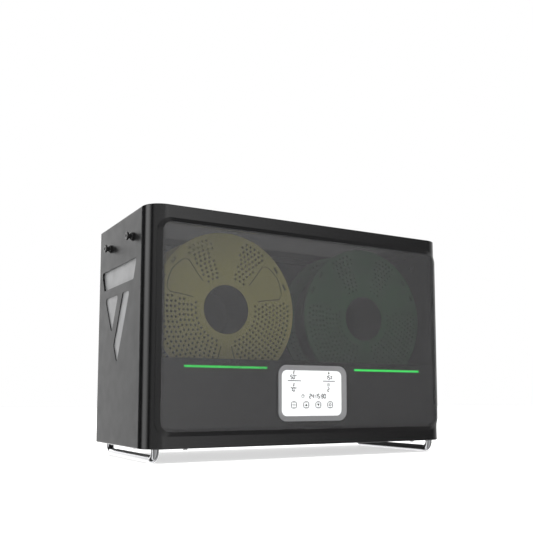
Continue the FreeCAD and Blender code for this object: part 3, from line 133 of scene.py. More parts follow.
def shader(name, **fixed):
    """A new material with its Principled shader, and the sockets that stay the same all over."""
    material = bpy.data.materials.new(name)
    material.use_nodes = True
    surface = material.node_tree.nodes["Principled BSDF"]
    for socket, number in fixed.items():
        surface.inputs[socket.replace("_", " ")].default_value = number
    return material, material.node_tree, surface


def object_point(tree, stretch=(1, 1, 1)):
    """Object coordinates, stretched along the axes."""
    place = tree.nodes.new("ShaderNodeTexCoord")
    mapping = tree.nodes.new("ShaderNodeMapping")
    mapping.inputs["Scale"].default_value = stretch
    wire(tree, place.outputs["Object"], mapping.inputs["Vector"])
    return mapping.outputs["Vector"]


def mottle(tree, point, scale, detail=SOFT_DETAIL):
    """Soft noise between 0 and 1."""
    noise = tree.nodes.new("ShaderNodeTexNoise")
    noise.inputs["Scale"].default_value = scale
    noise.inputs["Detail"].default_value = detail
    wire(tree, point, noise.inputs["Vector"])
    return noise.outputs["Fac"]


def raise_grain(tree, surface, height, strength, depth):
    """A bump from a height field."""
    bump = tree.nodes.new("ShaderNodeBump")
    bump.inputs["Strength"].default_value = strength
    bump.inputs["Distance"].default_value = depth
    wire(tree, height, bump.inputs["Height"])
    wire(tree, bump.outputs["Normal"], surface.inputs["Normal"])


def looks_along(tree, way, limit):
    """1 on faces that look along a direction, either way, and 0 elsewhere."""
    geometry = tree.nodes.new("ShaderNodeNewGeometry")
    turned = tree.nodes.new("ShaderNodeVectorMath")
    turned.operation = "DOT_PRODUCT"
    turned.inputs[1].default_value = way
    wire(tree, geometry.outputs["True Normal"], turned.inputs[0])
    return step(tree, "GREATER_THAN", step(tree, "ABSOLUTE", turned.outputs["Value"]), limit)


def finish(name, colour, rough, swing=0.05, tint=0.06, grain=1400.0, grit=0.15,
           stretch=(1, 1, 1), dull_side=0.0, **fixed):
    """A moulded, painted or ground surface: slight mottling, uneven gloss and a fine grain.

    Colour wanders by tint and roughness by swing. The bump has grain for its scale and grit for its
    strength. Faces to the left and right are duller by dull_side."""
    material, tree, surface = shader(name, **fixed)
    point = object_point(tree, stretch)
    cloud = mottle(tree, point, CLOUD_SCALE)
    dark = tuple(c*(1 - tint) for c in colour)
    light = tuple(min(1.0, c*(1 + tint)) for c in colour)
    wire(tree, blend_colours(tree, cloud, dark, light), surface.inputs["Base Color"])
    gloss = spread(tree, mottle(tree, point, GLOSS_SCALE), NOISE_RANGE,
                   (rough - swing, rough + swing))
    if dull_side:
        on_side = looks_along(tree, ALONG_X, SIDE_LIMIT)
        gloss = step(tree, "MULTIPLY_ADD", on_side, dull_side, gloss)
    wire(tree, gloss, surface.inputs["Roughness"])
    raise_grain(tree, surface, mottle(tree, point, grain, GRAIN_DETAIL), grit, GRAIN_DEPTH)
    return material


def pane_finish(name, face, rim, way, alpha):
    """Smoked sheet: clear on its flat face and solid dark along its sloping edge."""
    material, tree, surface = shader(name, IOR=PANE_IOR)
    on_face = looks_along(tree, way, FLAT_LIMIT)
    point = object_point(tree)
    cloud = mottle(tree, point, PANE_CLOUD_SCALE)
    tinted = blend_colours(tree, cloud, tuple(c*PANE_SHADE for c in face), face)
    wire(tree, blend_colours(tree, on_face, rim, tinted), surface.inputs["Base Color"])
    wire(tree, spread(tree, on_face, (0, 1), (1, alpha)), surface.inputs["Alpha"])
    gloss = spread(tree, mottle(tree, point, PANE_GLOSS_SCALE), NOISE_RANGE, PANE_ROUGHNESS)
    wire(tree, gloss, surface.inputs["Roughness"])
    grain = mottle(tree, point, PANE_GRAIN_SCALE)
    raise_grain(tree, surface, grain, PANE_GRIT, PANE_GRAIN_DEPTH)
    return material


SATIN_SHELL = finish("satin_shell", (0.004, 0.004, 0.0042), 0.14, swing=0.02, grit=0.02,
                     dull_side=0.30)
DARK_MOULDING = finish("dark_moulding", (0.007, 0.007, 0.0073), 0.5, grit=0.04)
FLOOR_PLATE = finish("floor_plate", (0.012, 0.012, 0.0125), 0.55, grit=0.3)
SMOKED_FRONT = pane_finish("smoked_front", (0.060, 0.060, 0.061), (0.004, 0.004, 0.0042),
                           ALONG_Y, 0.48)
SMOKED_LID = pane_finish("smoked_lid", (0.020, 0.020, 0.021), (0.006, 0.006, 0.0062),
                         ALONG_Z, 0.72)
SILVER_BEZEL = finish("silver_bezel", (0.245, 0.245, 0.25), 0.36, grit=0.06, Metallic=0.35)
LIT_SCREEN = finish("lit_screen", (0.52, 0.525, 0.53), 0.3, tint=0.01, grit=0.02,
                    Emission_Color=(0.98, 0.99, 1.0, 1), Emission_Strength=0.42)
SCREEN_INK = finish("screen_ink", (0.020, 0.020, 0.022), 0.6, grit=0.05)
LAMINATE = finish("board_laminate", (0.02, 0.13, 0.06), 0.42, tint=0.15, grit=0.1)
GREEN_LIGHT = finish("green_light", (0.02, 0.60, 0.07), 0.4, tint=0.02, grit=0.02,
                     Emission_Color=(0.03, 0.90, 0.12, 1), Emission_Strength=1.5)
PALE_INLAY = finish("pale_inlay", (0.19, 0.191, 0.193), 0.42, grit=0.25)
POLISHED_ROD = finish("polished_rod", (0.38, 0.38, 0.39), 0.15, swing=0.03, tint=0.02, grit=0.03,
                      Metallic=1.0)
PLAIN_STEEL = finish("plain_steel", (0.42, 0.42, 0.43), 0.34, grit=0.12, Metallic=1.0)
GROUND_STEEL = finish("ground_steel", (0.55, 0.55, 0.56), 0.24, grit=0.1, stretch=(1, 0.05, 1),
                      Metallic=1.0)
GLOSS_BLACK = finish("gloss_black", (0.005, 0.005, 0.005), 0.36, grit=0.04)
SEAL_RUBBER = finish("seal_rubber", (0.018, 0.018, 0.018), 0.78, grit=0.4)
BLACK_ENAMEL = finish("black_enamel", (0.014, 0.014, 0.015), 0.4, grit=0.3, grain=900.0)
FIN_ALUMINIUM = finish("fin_aluminium", (0.62, 0.62, 0.63), 0.3, grit=0.12, stretch=(1, 1, 0.1),
                       Metallic=1.0)
FAN_PLASTIC = finish("fan_plastic", (0.010, 0.010, 0.011), 0.5, grit=0.25)
SUPPLY_SHEET = finish("supply_sheet", (0.58, 0.58, 0.59), 0.38, grit=0.15, stretch=(0.1, 1, 1),
                      Metallic=1.0)
PLATED_PIN = finish("plated_pin", (0.66, 0.60, 0.42), 0.25, grit=0.06, Metallic=1.0)
# Dark grey for the sheet inside the spools' bores: painted shade, not a colour the spools have
BORE_PAINTED_SHADE = finish("bore_painted_shade", (0.036, 0.036, 0.033), 0.7, grit=0.004)
ROLLER_GREY = finish("roller_grey", (0.035, 0.035, 0.037), 0.5, grit=0.25)
SPOOL_YELLOW = finish("spool_yellow", (0.80, 0.74, 0.23), 0.36, tint=0.05, grit=0.06)
SPOOL_GREEN = finish("spool_green", (0.055, 0.19, 0.07), 0.36, tint=0.05, grit=0.06)
# The strands are coloured far darker than the spools: painted shade for the inside of each spool,
# which shows through the holes in the flanges
STRAND_YELLOW_PAINTED_SHADE = finish("strand_yellow", (0.12, 0.10, 0.03), 0.3, tint=0.05, grit=0.04)
STRAND_GREEN_PAINTED_SHADE = finish("strand_green", (0.02, 0.06, 0.02), 0.3, tint=0.05, grit=0.04)
# The groove lines are far darker than the spools: painted shade in the grooves
GROOVE_PAINTED_SHADE_YELLOW = finish("groove_painted_shade_yellow", (0.16, 0.14, 0.05), 0.45, grit=0.06)
GROOVE_PAINTED_SHADE_GREEN = finish("groove_painted_shade_green", (0.04, 0.12, 0.05), 0.45, grit=0.06)

COLLETS = [name for name in nodes if name.startswith("outlet_collet")]
ROLLERS = [name for name in nodes if name.startswith("roller_") and name != "roller_axles"]
DRESS = {
    SATIN_SHELL: ["outer_shell"],
    DARK_MOULDING: ["bay_liner", "spool_tray", "humidity_sensor", "lid_frame"],
    FLOOR_PLATE: ["base_plate"],
    SMOKED_FRONT: ["front_window"],
    SMOKED_LID: ["lid_window"],
    SILVER_BEZEL: ["display_bezel"],
    LIT_SCREEN: ["display_screen"],
    LAMINATE: ["display_board", "control_board"],
    GREEN_LIGHT: ["light_bar_left", "light_bar_right"],
    PALE_INLAY: ["side_trim_left", "side_trim_right"],
    POLISHED_ROD: ["foot_bar_left", "foot_bar_right"],
    PLAIN_STEEL: ["foot_nuts", "base_screws", "rear_screws", "hinge_screws", "lid_screws",
                  "fan_screws"],
    GROUND_STEEL: ["roller_axles", "hinge_pins"],
    GLOSS_BLACK: ["outlet_fittings", "outlet_nuts", "switch_rocker"] + COLLETS,
    SEAL_RUBBER: ["lid_seal"],
    BLACK_ENAMEL: ["hinge_brackets", "lid_hinge_arms", "rear_panel"],
    FIN_ALUMINIUM: ["heater_left", "heater_right"],
    FAN_PLASTIC: ["fan_frame_left", "fan_frame_right", "fan_rotor_left", "fan_rotor_right",
                  "power_inlet", "switch_housing"],
    SUPPLY_SHEET: ["power_supply"],
    PLATED_PIN: ["inlet_pins"],
    ROLLER_GREY: ROLLERS,
    SPOOL_YELLOW: ["spool_left"],
    SPOOL_GREEN: ["spool_right"],
    STRAND_YELLOW_PAINTED_SHADE: ["filament_left"],
    STRAND_GREEN_PAINTED_SHADE: ["filament_right"],
}
for material, names in DRESS.items():
    for name in names:
        slots = nodes[name].data.materials
        slots.clear()
        slots.append(material)


# Geometry Nodes
class Tree:
    """A geometry node tree that is built up call by call."""

    def __init__(self, name, **sizes):
        self.group = bpy.data.node_groups.new(name, "GeometryNodeTree")
        for side in ("INPUT", "OUTPUT"):
            self.group.interface.new_socket("Geometry", in_out=side,
                                            socket_type="NodeSocketGeometry")
        self.ids = {}
        self.sizes = sizes
        for word, number in sizes.items():
            kind = "NodeSocketInt" if isinstance(number, int) else "NodeSocketFloat"
            made = self.group.interface.new_socket(word, in_out="INPUT", socket_type=kind)
            self.ids[word] = made.identifier
        self.start = self.group.nodes.new("NodeGroupInput")
        self.end = self.group.nodes.new("NodeGroupOutput")

    def size(self, word):
        """A named input."""
        return self.start.outputs[word]

    def add(self, kind, feeds=None, **settings):
        """A node with its settings, and its inputs as sockets or constants."""
        made = self.group.nodes.new(kind)
        for word, setting in settings.items():
            setattr(made, word, setting)
        for key, given in (feeds or {}).items():
            feed(self.group, made.inputs[key], given)
        return made

    def sum(self, operation, *given):
        """One step of arithmetic."""
        return step(self.group, operation, *given)

    def vector(self, **given):
        """A vector from its X, Y and Z, as far as they are not 0."""
        return self.add("ShaderNodeCombineXYZ", given).outputs[0]

    def join(self, *shapes):
        """Several shapes as one."""
        joined = self.add("GeometryNodeJoinGeometry")
        for shape in shapes:
            wire(self.group, shape, joined.inputs[0])
        return joined.outputs[0]

    def real(self, instances):
        """Instances made into geometry of their own."""
        return self.add("GeometryNodeRealizeInstances", {"Geometry": instances}).outputs[0]

    def cut(self, shape, points, tool):
        """A shape with a tool's form taken out at each point."""
        tools = self.add("GeometryNodeInstanceOnPoints", {"Points": points, "Instance": tool})
        left = self.add("GeometryNodeMeshBoolean",
                        {"Mesh 1": shape, "Mesh 2": self.real(tools.outputs[0])},
                        operation="DIFFERENCE", solver="MANIFOLD")
        return left.outputs["Mesh"]

    def close(self, geometry, material):
        """Ends the tree in real geometry with a material."""
        dressed = self.add("GeometryNodeSetMaterial",
                           {"Geometry": self.real(geometry), "Material": material})
        wire(self.group, dressed.outputs[0], self.end.inputs[0])

    def grow(self, name, mesh=None):
        """Runs the tree on a mesh and keeps the result as a plain object."""
        seed = bpy.data.objects.new(name + "_seed", mesh or bpy.data.meshes.new(name + "_seed"))
        scene.collection.objects.link(seed)
        modifier = seed.modifiers.new("build", "NODES")
        modifier.node_group = self.group
        for word, number in self.sizes.items():
            modifier[self.ids[word]] = number
        graph = bpy.context.evaluated_depsgraph_get()
        made = bpy.data.meshes.new_from_object(seed.evaluated_get(graph))
        bpy.data.objects.remove(seed)
        piece = bpy.data.objects.new(name, made)
        scene.collection.objects.link(piece)
        return piece


# Meshes
MERGE_DISTANCE = 0.000001


def merged_copy(name):
    """A copy of a node's mesh with its loose triangles joined."""
    mesh = bmesh.new()
    mesh.from_mesh(nodes[name].data)
    bmesh.ops.remove_doubles(mesh, verts=mesh.verts, dist=MERGE_DISTANCE)
    made = bpy.data.meshes.new(name + "_copy")
    mesh.to_mesh(made)
    mesh.free()
    return made


def set_at(piece, where, turn):
    """Writes a piece's place into its mesh."""
    piece.data.transform(Matrix.Translation(Vector(where)) @ turn)
    piece.data.update()
    return piece


def middle_of(name):
    """The centre of a node's box."""
    low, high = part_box(name)
    return (Vector(low) + Vector(high))/2


def around_axis(centre, radius, turn, along):
    """A point about an axis that runs along Y through a centre."""
    return (centre.x + radius*math.sin(turn), centre.y + along, centre.z + radius*math.cos(turn))


def skin(mesh, rows):
    """Faces between rows of points, each of which goes round a section."""
    for here, there in zip(rows, rows[1:]):
        for i in range(len(here)):
            k = (i + 1) % len(here)
            mesh.faces.new((here[i], here[k], there[k], there[i]))


def keep(name, mesh, material):
    """A finished object out of a bmesh."""
    made = bpy.data.meshes.new(name)
    mesh.to_mesh(made)
    mesh.free()
    made.materials.append(material)
    piece = bpy.data.objects.new(name, made)
    scene.collection.objects.link(piece)
    return piece


# Spools with perforated flanges
AROUND_Y = Matrix.Rotation(math.radians(-90), 4, "X")
# Clock positions of the plain fields of a flange and how far they reach to either side, in degrees
PLAIN_FIELDS = ((0, 15), (59, 21), (180, 15), (-59, 21))
OUTLINED_FIELDS = PLAIN_FIELDS[1:]
# A field's outline: distances from the axis at its foot, shoulders, bends and top, how far it stays
# inside the field at foot and shoulders, in degrees, and how far out the bends are between top and
# shoulders
FIELD_FOOT, FIELD_SHOULDER, FIELD_BEND, FIELD_TOP = 0.048, 0.080, 0.086, 0.089
FOOT_MARGIN, SHOULDER_MARGIN = 6, 3
BEND_SHARE = 0.8
# The dark line along it, which is painted shade for the groove
LINE_STEPS = 6
LINE_HALF = 0.0005
LINE_SUNK, LINE_PROUD = 0.0001, 0.00012
# A dark sheet just inside a bore: painted shade, standing for the shade down the bore
BORE_SHADE_PROUD, BORE_SHADE_SUNK = 0.0003, 0.0002
BORE_SHADE_SIDES = 72
BORE_SHADE_SHORT = 0.0004
DRILL_SIDES = 8
# The winding: straight pieces in a turn, in the strand's section and in the drum, and by how many
# strand radii the row of turns is shorter than the drum
TURN_STEPS, STRAND_SIDES, DRUM_STEPS = 72, 7, 96
END_ROOM = 2.2


def perforation(material):
    """Rings of small round holes through a spool's flanges, clear of the plain fields."""
    tree = Tree("flange_perforation", rings=10, first_ring=0.0430, ring_step=0.0055,
                dot_pitch=0.0066, dot_radius=0.0019, drill_length=0.08)
    opening = tree.add("GeometryNodeRepeatInput")
    closing = tree.add("GeometryNodeRepeatOutput")
    opening.pair_with_output(closing)
    wire(tree.group, tree.size("rings"), opening.inputs["Iterations"])
    ring = opening.outputs["Iteration"]
    radius = tree.sum("MULTIPLY_ADD", ring, tree.size("ring_step"), tree.size("first_ring"))
    around = tree.sum("MULTIPLY", radius, FULL_TURN)
    count = tree.sum("FLOOR", tree.sum("DIVIDE", around, tree.size("dot_pitch")))
    circle = tree.add("GeometryNodeMeshCircle", {"Vertices": count, "Radius": radius})
    half_step = tree.sum("MULTIPLY", tree.sum("DIVIDE", math.pi, count), ring)
    turned = tree.add("GeometryNodeTransform", {"Geometry": circle.outputs["Mesh"],
                                                "Rotation": tree.vector(Z=half_step)})
    points = tree.add("GeometryNodeMeshToPoints", {"Mesh": turned.outputs[0]})
    joined = tree.join(points.outputs[0], opening.outputs["Geometry"])
    wire(tree.group, joined, closing.inputs["Geometry"])
    # The spool's axis lies along Z here, and its top points to -Y
    spot = tree.add("ShaderNodeSeparateXYZ", {0: tree.add("GeometryNodeInputPosition").outputs[0]})
    upward = tree.sum("MULTIPLY", spot.outputs["Y"], -1.0)
    angle = tree.sum("ARCTAN2", spot.outputs["X"], upward)
    plain = 0.0
    for clock, half in PLAIN_FIELDS:
        away = tree.sum("SUBTRACT", angle, math.radians(clock))
        away = tree.sum("ABSOLUTE", tree.sum("WRAP", away, math.pi, -math.pi))
        inside = tree.sum("LESS_THAN", away, math.radians(half))
        plain = tree.sum("MAXIMUM", plain, inside)
    kept = tree.add("GeometryNodeDeleteGeometry",
                    {"Geometry": closing.outputs[0], "Selection": plain}, domain="POINT")
    drill = tree.add("GeometryNodeMeshCylinder", {
        "Vertices": DRILL_SIDES, "Radius": tree.size("dot_radius"),
        "Depth": tree.size("drill_length")})
    spool = tree.start.outputs["Geometry"]
    tree.close(tree.cut(spool, kept.outputs[0], drill.outputs["Mesh"]), material)
    return tree


def field_path(half):
    """Stations along a field's outline: distance from the axis, angle, and if it runs across."""
    foot, shoulder = math.radians(half - FOOT_MARGIN), math.radians(half - SHOULDER_MARGIN)
    bend = shoulder*BEND_SHARE
    edge = [(FIELD_FOOT, -foot), (FIELD_SHOULDER, -shoulder), (FIELD_BEND, -bend), (FIELD_TOP, 0.0),
            (FIELD_BEND, bend), (FIELD_SHOULDER, shoulder), (FIELD_FOOT, foot)]
    path = []
    for (r0, a0), (r1, a1) in zip(edge, edge[1:]):
        path += [(r0 + (r1 - r0)*k/LINE_STEPS, a0 + (a1 - a0)*k/LINE_STEPS)
                 for k in range(LINE_STEPS)]
    path.append(edge[-1])
    return [(radius, swing, abs(swing) < bend and radius > FIELD_SHOULDER)
            for radius, swing in path]


def field_lines(name, centre, out, material):
    """Thin dark lines round the plain fields on both faces of a spool: painted shade for the
    grooves there.
    """
    section = ((-LINE_HALF, -LINE_SUNK), (-LINE_HALF, LINE_PROUD),
               (LINE_HALF, LINE_PROUD), (LINE_HALF, -LINE_SUNK))
    mesh = bmesh.new()
    for face in (-1, 1):
        for clock, half in OUTLINED_FIELDS:
            rows = []
            for radius, swing, across in field_path(half):
                turn = math.radians(clock) + swing
                row = []
                for wide, high in section:
                    r, a = (radius + wide, turn) if across else (radius, turn + wide/radius)
                    row.append(mesh.verts.new(around_axis(centre, r, a, face*(out + high))))
                rows.append(row)
            skin(mesh, rows)
            for end in (rows[0], rows[-1]):
                mesh.faces.new(end)
    bmesh.ops.recalc_face_normals(mesh, faces=mesh.faces)
    return keep(name, mesh, material)


def bore_shade_sheet(name, centre, bore, half, material):
    """A thin dark sheet just inside a spool's bore: painted shade that stands for the shade down
    the bore.
    """
    inside, outside = bore - BORE_SHADE_PROUD, bore + BORE_SHADE_SUNK
    section = ((inside, -half), (outside, -half), (outside, half), (inside, half))
    mesh = bmesh.new()
    rings = []
    for k in range(BORE_SHADE_SIDES):
        turn = FULL_TURN*k/BORE_SHADE_SIDES
        rings.append([mesh.verts.new(around_axis(centre, radius, turn, along))
                      for radius, along in section])
    skin(mesh, rings + rings[:1])
    bmesh.ops.recalc_face_normals(mesh, faces=mesh.faces)
    return keep(name, mesh, material)


def winding(material):
    """A full winding: one unbroken layer of close turns over a drum."""
    tree = Tree("strand_winding", turns=30, strand=0.000875, radius=0.081, hub=0.0362,
                length=0.0562)
    radius, hub, length = tree.size("radius"), tree.size("hub"), tree.size("length")
    inner = tree.sum("MULTIPLY_ADD", tree.size("strand"), -END_ROOM, length)
    spiral = tree.add("GeometryNodeCurveSpiral", {
        "Resolution": TURN_STEPS, "Rotations": tree.size("turns"), "Start Radius": radius,
        "End Radius": radius, "Height": inner})
    profile = tree.add("GeometryNodeCurvePrimitiveCircle", {
        "Resolution": STRAND_SIDES, "Radius": tree.size("strand")})
    strand = tree.add("GeometryNodeCurveToMesh", {
        "Curve": spiral.outputs[0], "Profile Curve": profile.outputs[0], "Fill Caps": True})
    settled = tree.add("GeometryNodeTransform", {
        "Geometry": strand.outputs[0],
        "Translation": tree.vector(Z=tree.sum("MULTIPLY", inner, -0.5))})
    middle = tree.sum("MULTIPLY", tree.sum("ADD", radius, hub), 0.5)
    path = tree.add("GeometryNodeCurvePrimitiveCircle", {
        "Resolution": DRUM_STEPS, "Radius": middle})
    section = tree.add("GeometryNodeCurvePrimitiveQuadrilateral", {
        "Width": tree.sum("SUBTRACT", radius, hub), "Height": length})
    drum = tree.add("GeometryNodeCurveToMesh", {
        "Curve": path.outputs[0], "Profile Curve": section.outputs[0]})
    both = tree.join(settled.outputs[0], drum.outputs[0])
    smooth = tree.add("GeometryNodeSetShadeSmooth", {"Geometry": both})
    tree.close(smooth.outputs[0], material)
    return tree


SPOOLS = (("left", SPOOL_YELLOW, STRAND_YELLOW_PAINTED_SHADE, GROOVE_PAINTED_SHADE_YELLOW,
           "spool_yellow", "strand_yellow"),
          ("right", SPOOL_GREEN, STRAND_GREEN_PAINTED_SHADE, GROOVE_PAINTED_SHADE_GREEN,
           "spool_green", "strand_green"))
for word, flange_finish, strand_painted_shade, groove_painted_shade, flange_slot, strand_slot in SPOOLS:
    name = "spool_" + word
    low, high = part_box(name)
    half = (high[1] - low[1])/2
    centre = middle_of(name)
    blank = merged_copy(name)
    blank.transform(AROUND_Y.inverted() @ Matrix.Translation(-centre))
    bore = min(math.hypot(vertex.co.x, vertex.co.y) for vertex in blank.vertices)
    spool = perforation(flange_finish).grow("perforated_spool_" + word, blank)
    set_at(spool, centre, AROUND_Y)
    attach(spool, name)
    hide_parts(name)
    # The dark lines round the fields are painted shade
    lines = field_lines("spool_field_lines_" + word, centre, half, groove_painted_shade)
    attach(lines, name)
    # The dark sheet in the bore is painted shade
    bore_shade = bore_shade_sheet("spool_bore_shade_" + word, centre, bore, half - BORE_SHADE_SHORT, BORE_PAINTED_SHADE)
    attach(bore_shade, name)
    # The winding's dark colour is painted shade
    wound = set_at(winding(strand_painted_shade).grow("wound_filament_" + word), centre, AROUND_Y)
    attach(wound, name)
    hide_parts("filament_" + word)


# Screws at the rear with cross recesses

# A point of a mesh with fewer neighbours than this stands alone
LONE_LIMIT = 0.5


def cross_recess(material):
    """Two crossed blades sunk into each head. Loose points in the mesh mark the heads."""
    tree = Tree("cross_recess", arm=0.0034, blade=0.0008, depth=0.0016)
    neighbours = tree.add("GeometryNodeInputMeshVertexNeighbors").outputs["Vertex Count"]
    parted = tree.add("GeometryNodeSeparateGeometry", {
        "Geometry": tree.start.outputs["Geometry"],
        "Selection": tree.sum("LESS_THAN", neighbours, LONE_LIMIT)}, domain="POINT")
    screws = parted.outputs["Inverted"]
    for across, up in (("arm", "blade"), ("blade", "arm")):
        size = tree.vector(X=tree.size(across), Y=tree.size("depth"), Z=tree.size(up))
        blade = tree.add("GeometryNodeMeshCube", {"Size": size})
        screws = tree.cut(screws, parted.outputs["Selection"], blade.outputs["Mesh"])
    tree.close(screws, material)
    return tree


def head_points(blank):
    """Adds a loose point in the middle of each rear-facing head."""
    mesh = bmesh.new()
    mesh.from_mesh(blank)
    waiting, heads = set(mesh.verts), []
    while waiting:
        group, front = set(), [waiting.pop()]
        while front:
            here = front.pop()
            group.add(here)
            linked = {edge.other_vert(here) for edge in here.link_edges} & waiting
            waiting -= linked
            front += linked
        face = max(vertex.co.y for vertex in group)
        across = [vertex.co.x for vertex in group]
        up = [vertex.co.z for vertex in group]
        heads.append(((min(across) + max(across))/2, face, (min(up) + max(up))/2))
    for head in sorted(heads):
        mesh.verts.new(head)
    mesh.to_mesh(blank)
    mesh.free()
    return blank


for name in ("rear_screws", "hinge_screws"):
    screws = cross_recess(PLAIN_STEEL).grow("recessed_" + name, head_points(merged_copy(name)))
    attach(screws, "cabinet")
    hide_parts(name)


# Figures and symbols on the screen, drawn across X and Z in millimetres from its middle
SEGMENTS = {"a": ((0, 2), (1, 2)), "b": ((1, 2), (1, 1)), "c": ((1, 1), (1, 0)),
            "d": ((0, 0), (1, 0)), "e": ((0, 1), (0, 0)), "f": ((0, 2), (0, 1)),
            "g": ((0, 1), (1, 1))}
FIGURES = {"0": "abcdef", "1": "bc", "2": "abged", "3": "abgcd", "4": "fgbc", "5": "afgcd",
           "6": "afgedc", "7": "abc", "8": "abcdefg", "9": "abcdfg"}
MM_IN_METRE = 1000
INK_DEPTH = 0.06
# Shares of a figure's height: its width and stroke, the steps to the next sign, and small rings
FIGURE_WIDTH, FIGURE_STROKE, SMALL_RING = 0.5, 0.23, 0.12
FIGURE_STEP, COLON_STEP, PERCENT_STEP, DEGREE_STEP = 0.76, 0.3, 0.75, 0.4
COLON_HEIGHTS = (0.3, 0.7)
DEGREE_PLACE = (0.1, 0.86)
# The rings of a percent sign, as shares of a figure's width and height
PERCENT_RINGS = ((0.15, 0.8), (0.85, 0.2))
# Shares of a figure's stroke
COLON_DOT, PERCENT_BAR, PERCENT_STROKE, DEGREE_STROKE = 0.6, 0.8, 0.6, 0.7
DOT_SIDES, RING_SIDES, PERCENT_SIDES, DEGREE_SIDES = 14, 16, 8, 10


def round_outline(middle, radius, sides):
    """The corners of a regular outline."""
    turns = [FULL_TURN*k/sides for k in range(sides)]
    return [(middle[0] + radius*math.cos(turn), middle[1] + radius*math.sin(turn))
            for turn in turns]


class Ink:
    """Flat marks that stand a hair proud of the screen."""

    def __init__(self, middle, face):
        self.mesh = bmesh.new()
        self.middle = middle
        self.face = face

    def plate(self, outline):
        """A closed outline made into a thin plate."""
        deep = INK_DEPTH/MM_IN_METRE
        front, rear = [], []
        for across, up in outline:
            x, z = self.middle.x + across/MM_IN_METRE, self.middle.z + up/MM_IN_METRE
            front.append(self.mesh.verts.new((x, self.face - deep, z)))
            rear.append(self.mesh.verts.new((x, self.face + deep, z)))
        self.mesh.faces.new(front)
        self.mesh.faces.new(rear)
        skin(self.mesh, [front, rear])

    def bar(self, start, end, wide):
        """A straight stroke with pointed ends."""
        way = (Vector(end) - Vector(start)).normalized()
        side = Vector((-way.y, way.x))*wide/2
        near, far = Vector(start) + way*wide/2, Vector(end) - way*wide/2
        self.plate([start, near + side, far + side, end, far - side, near - side])

    def loop(self, points, wide):
        """A stroke round a closed line."""
        for start, end in zip(points, points[1:] + points[:1]):
            self.bar(start, end, wide)

    def disc(self, middle, radius, sides=DOT_SIDES):
        """A round dot."""
        self.plate(round_outline(middle, radius, sides))

    def ring(self, middle, radius, wide, sides=RING_SIDES):
        """A round outline."""
        self.loop(round_outline(middle, radius, sides), wide)

    def figures(self, text, left, low, high):
        """A row of segment figures with colons, percent and degree signs."""
        wide, stroke = high*FIGURE_WIDTH, high*FIGURE_STROKE
        for letter in text:
            if letter == ":":
                for share in COLON_HEIGHTS:
                    self.disc((left + stroke, low + high*share), stroke*COLON_DOT)
                left += high*COLON_STEP
            elif letter == "%":
                self.bar((left, low), (left + wide, low + high), stroke*PERCENT_BAR)
                for x, z in PERCENT_RINGS:
                    self.ring((left + wide*x, low + high*z), high*SMALL_RING,
                              stroke*PERCENT_STROKE, PERCENT_SIDES)
                left += high*PERCENT_STEP
            elif letter == "o":
                x, z = DEGREE_PLACE
                self.ring((left + high*x, low + high*z), high*SMALL_RING,
                          stroke*DEGREE_STROKE, DEGREE_SIDES)
                left += high*DEGREE_STEP
            else:
                for segment in FIGURES[letter]:
                    start, end = [(left + x*wide, low + z*high/2) for x, z in SEGMENTS[segment]]
                    self.bar(start, end, stroke)
                left += high*FIGURE_STEP


def thermometer(ink, across, up):
    """A bulb with a stem and three marks beside it."""
    bulb_down, bulb_radius = 1.3, 1.0
    stem_down, stem_up, stem_stroke = 1.0, 2.0, 0.9
    mark_near, mark_far, mark_stroke = 0.9, 2.1, 0.5
    ink.disc((across, up - bulb_down), bulb_radius)
    ink.bar((across, up - stem_down), (across, up + stem_up), stem_stroke)
    for height in (0.2, 1.0, 1.8):
        ink.bar((across + mark_near, up + height), (across + mark_far, up + height), mark_stroke)


def droplet(ink, across, up):
    """A drop of water."""
    radius, sunk, tip = 1.2, 0.6, 2.0
    shoulder, spacing = 110, 20
    rim = []
    for degrees in range(-shoulder, shoulder + 1, spacing):
        turn = math.radians(degrees)
        rim.append((across + radius*math.sin(turn), up - sunk - radius*math.cos(turn)))
    ink.plate(rim + [(across, up + tip)])


def timer_sign(ink, across, up):
    """A ring with a dot."""
    ring_radius, ring_stroke, dot_radius = 2.0, 1.1, 0.7
    ink.ring((across, up), ring_radius, ring_stroke)
    ink.disc((across, up), dot_radius)


def clock_sign(ink, across, up):
    """A ring with two hands."""
    ring_radius, ring_stroke = 2.3, 1.0
    long_hand, short_hand, hand_stroke = 1.7, 1.2, 0.9
    ink.ring((across, up), ring_radius, ring_stroke)
    ink.bar((across, up), (across, up + long_hand), hand_stroke)
    ink.bar((across, up), (across + short_hand, up), hand_stroke)


def key(ink, across, up):
    """The outline of a touch key with its corners cut."""
    half, cut, stroke = 3.9, 1.3, 1.15
    short = half - cut
    corners = [(-short, -half), (short, -half), (half, -short), (half, short),
               (short, half), (-short, half), (-half, short), (-half, -short)]
    ink.loop([(across + x, up + z) for x, z in corners], stroke)


# Heights of the rows on the screen
UPPER_SIGN, UPPER_READING, RULE, LOWER_SIGN, LOWER_READING = 27.2, 18.4, 16.0, 11.2, 2.4
DROPLET_UP, CLOCK_UP, TIME_UP, KEY_UP = 27.0, -3.9, -6.5, -15.3
READING_HIGH, TIME_HIGH, RULE_WIDE = 4.9, 5.2, 1.0
# Places across the screen
LEFT_SIGN, LEFT_READING, LEFT_RULE = -28.5, -33.2, (-37.6, -17.2)
DROPLET_ACROSS, HUMIDITY_READING, RIGHT_RULE = 26.2, 21.6, (16.5, 36.3)
TIMER_ACROSS, TIMER_READING = 25.8, 24.2
CLOCK_ACROSS, TIME_ACROSS = -14.4, -4.6
KEYS, FIRST_KEY, KEY_PITCH = 4, -28.2, 18.8
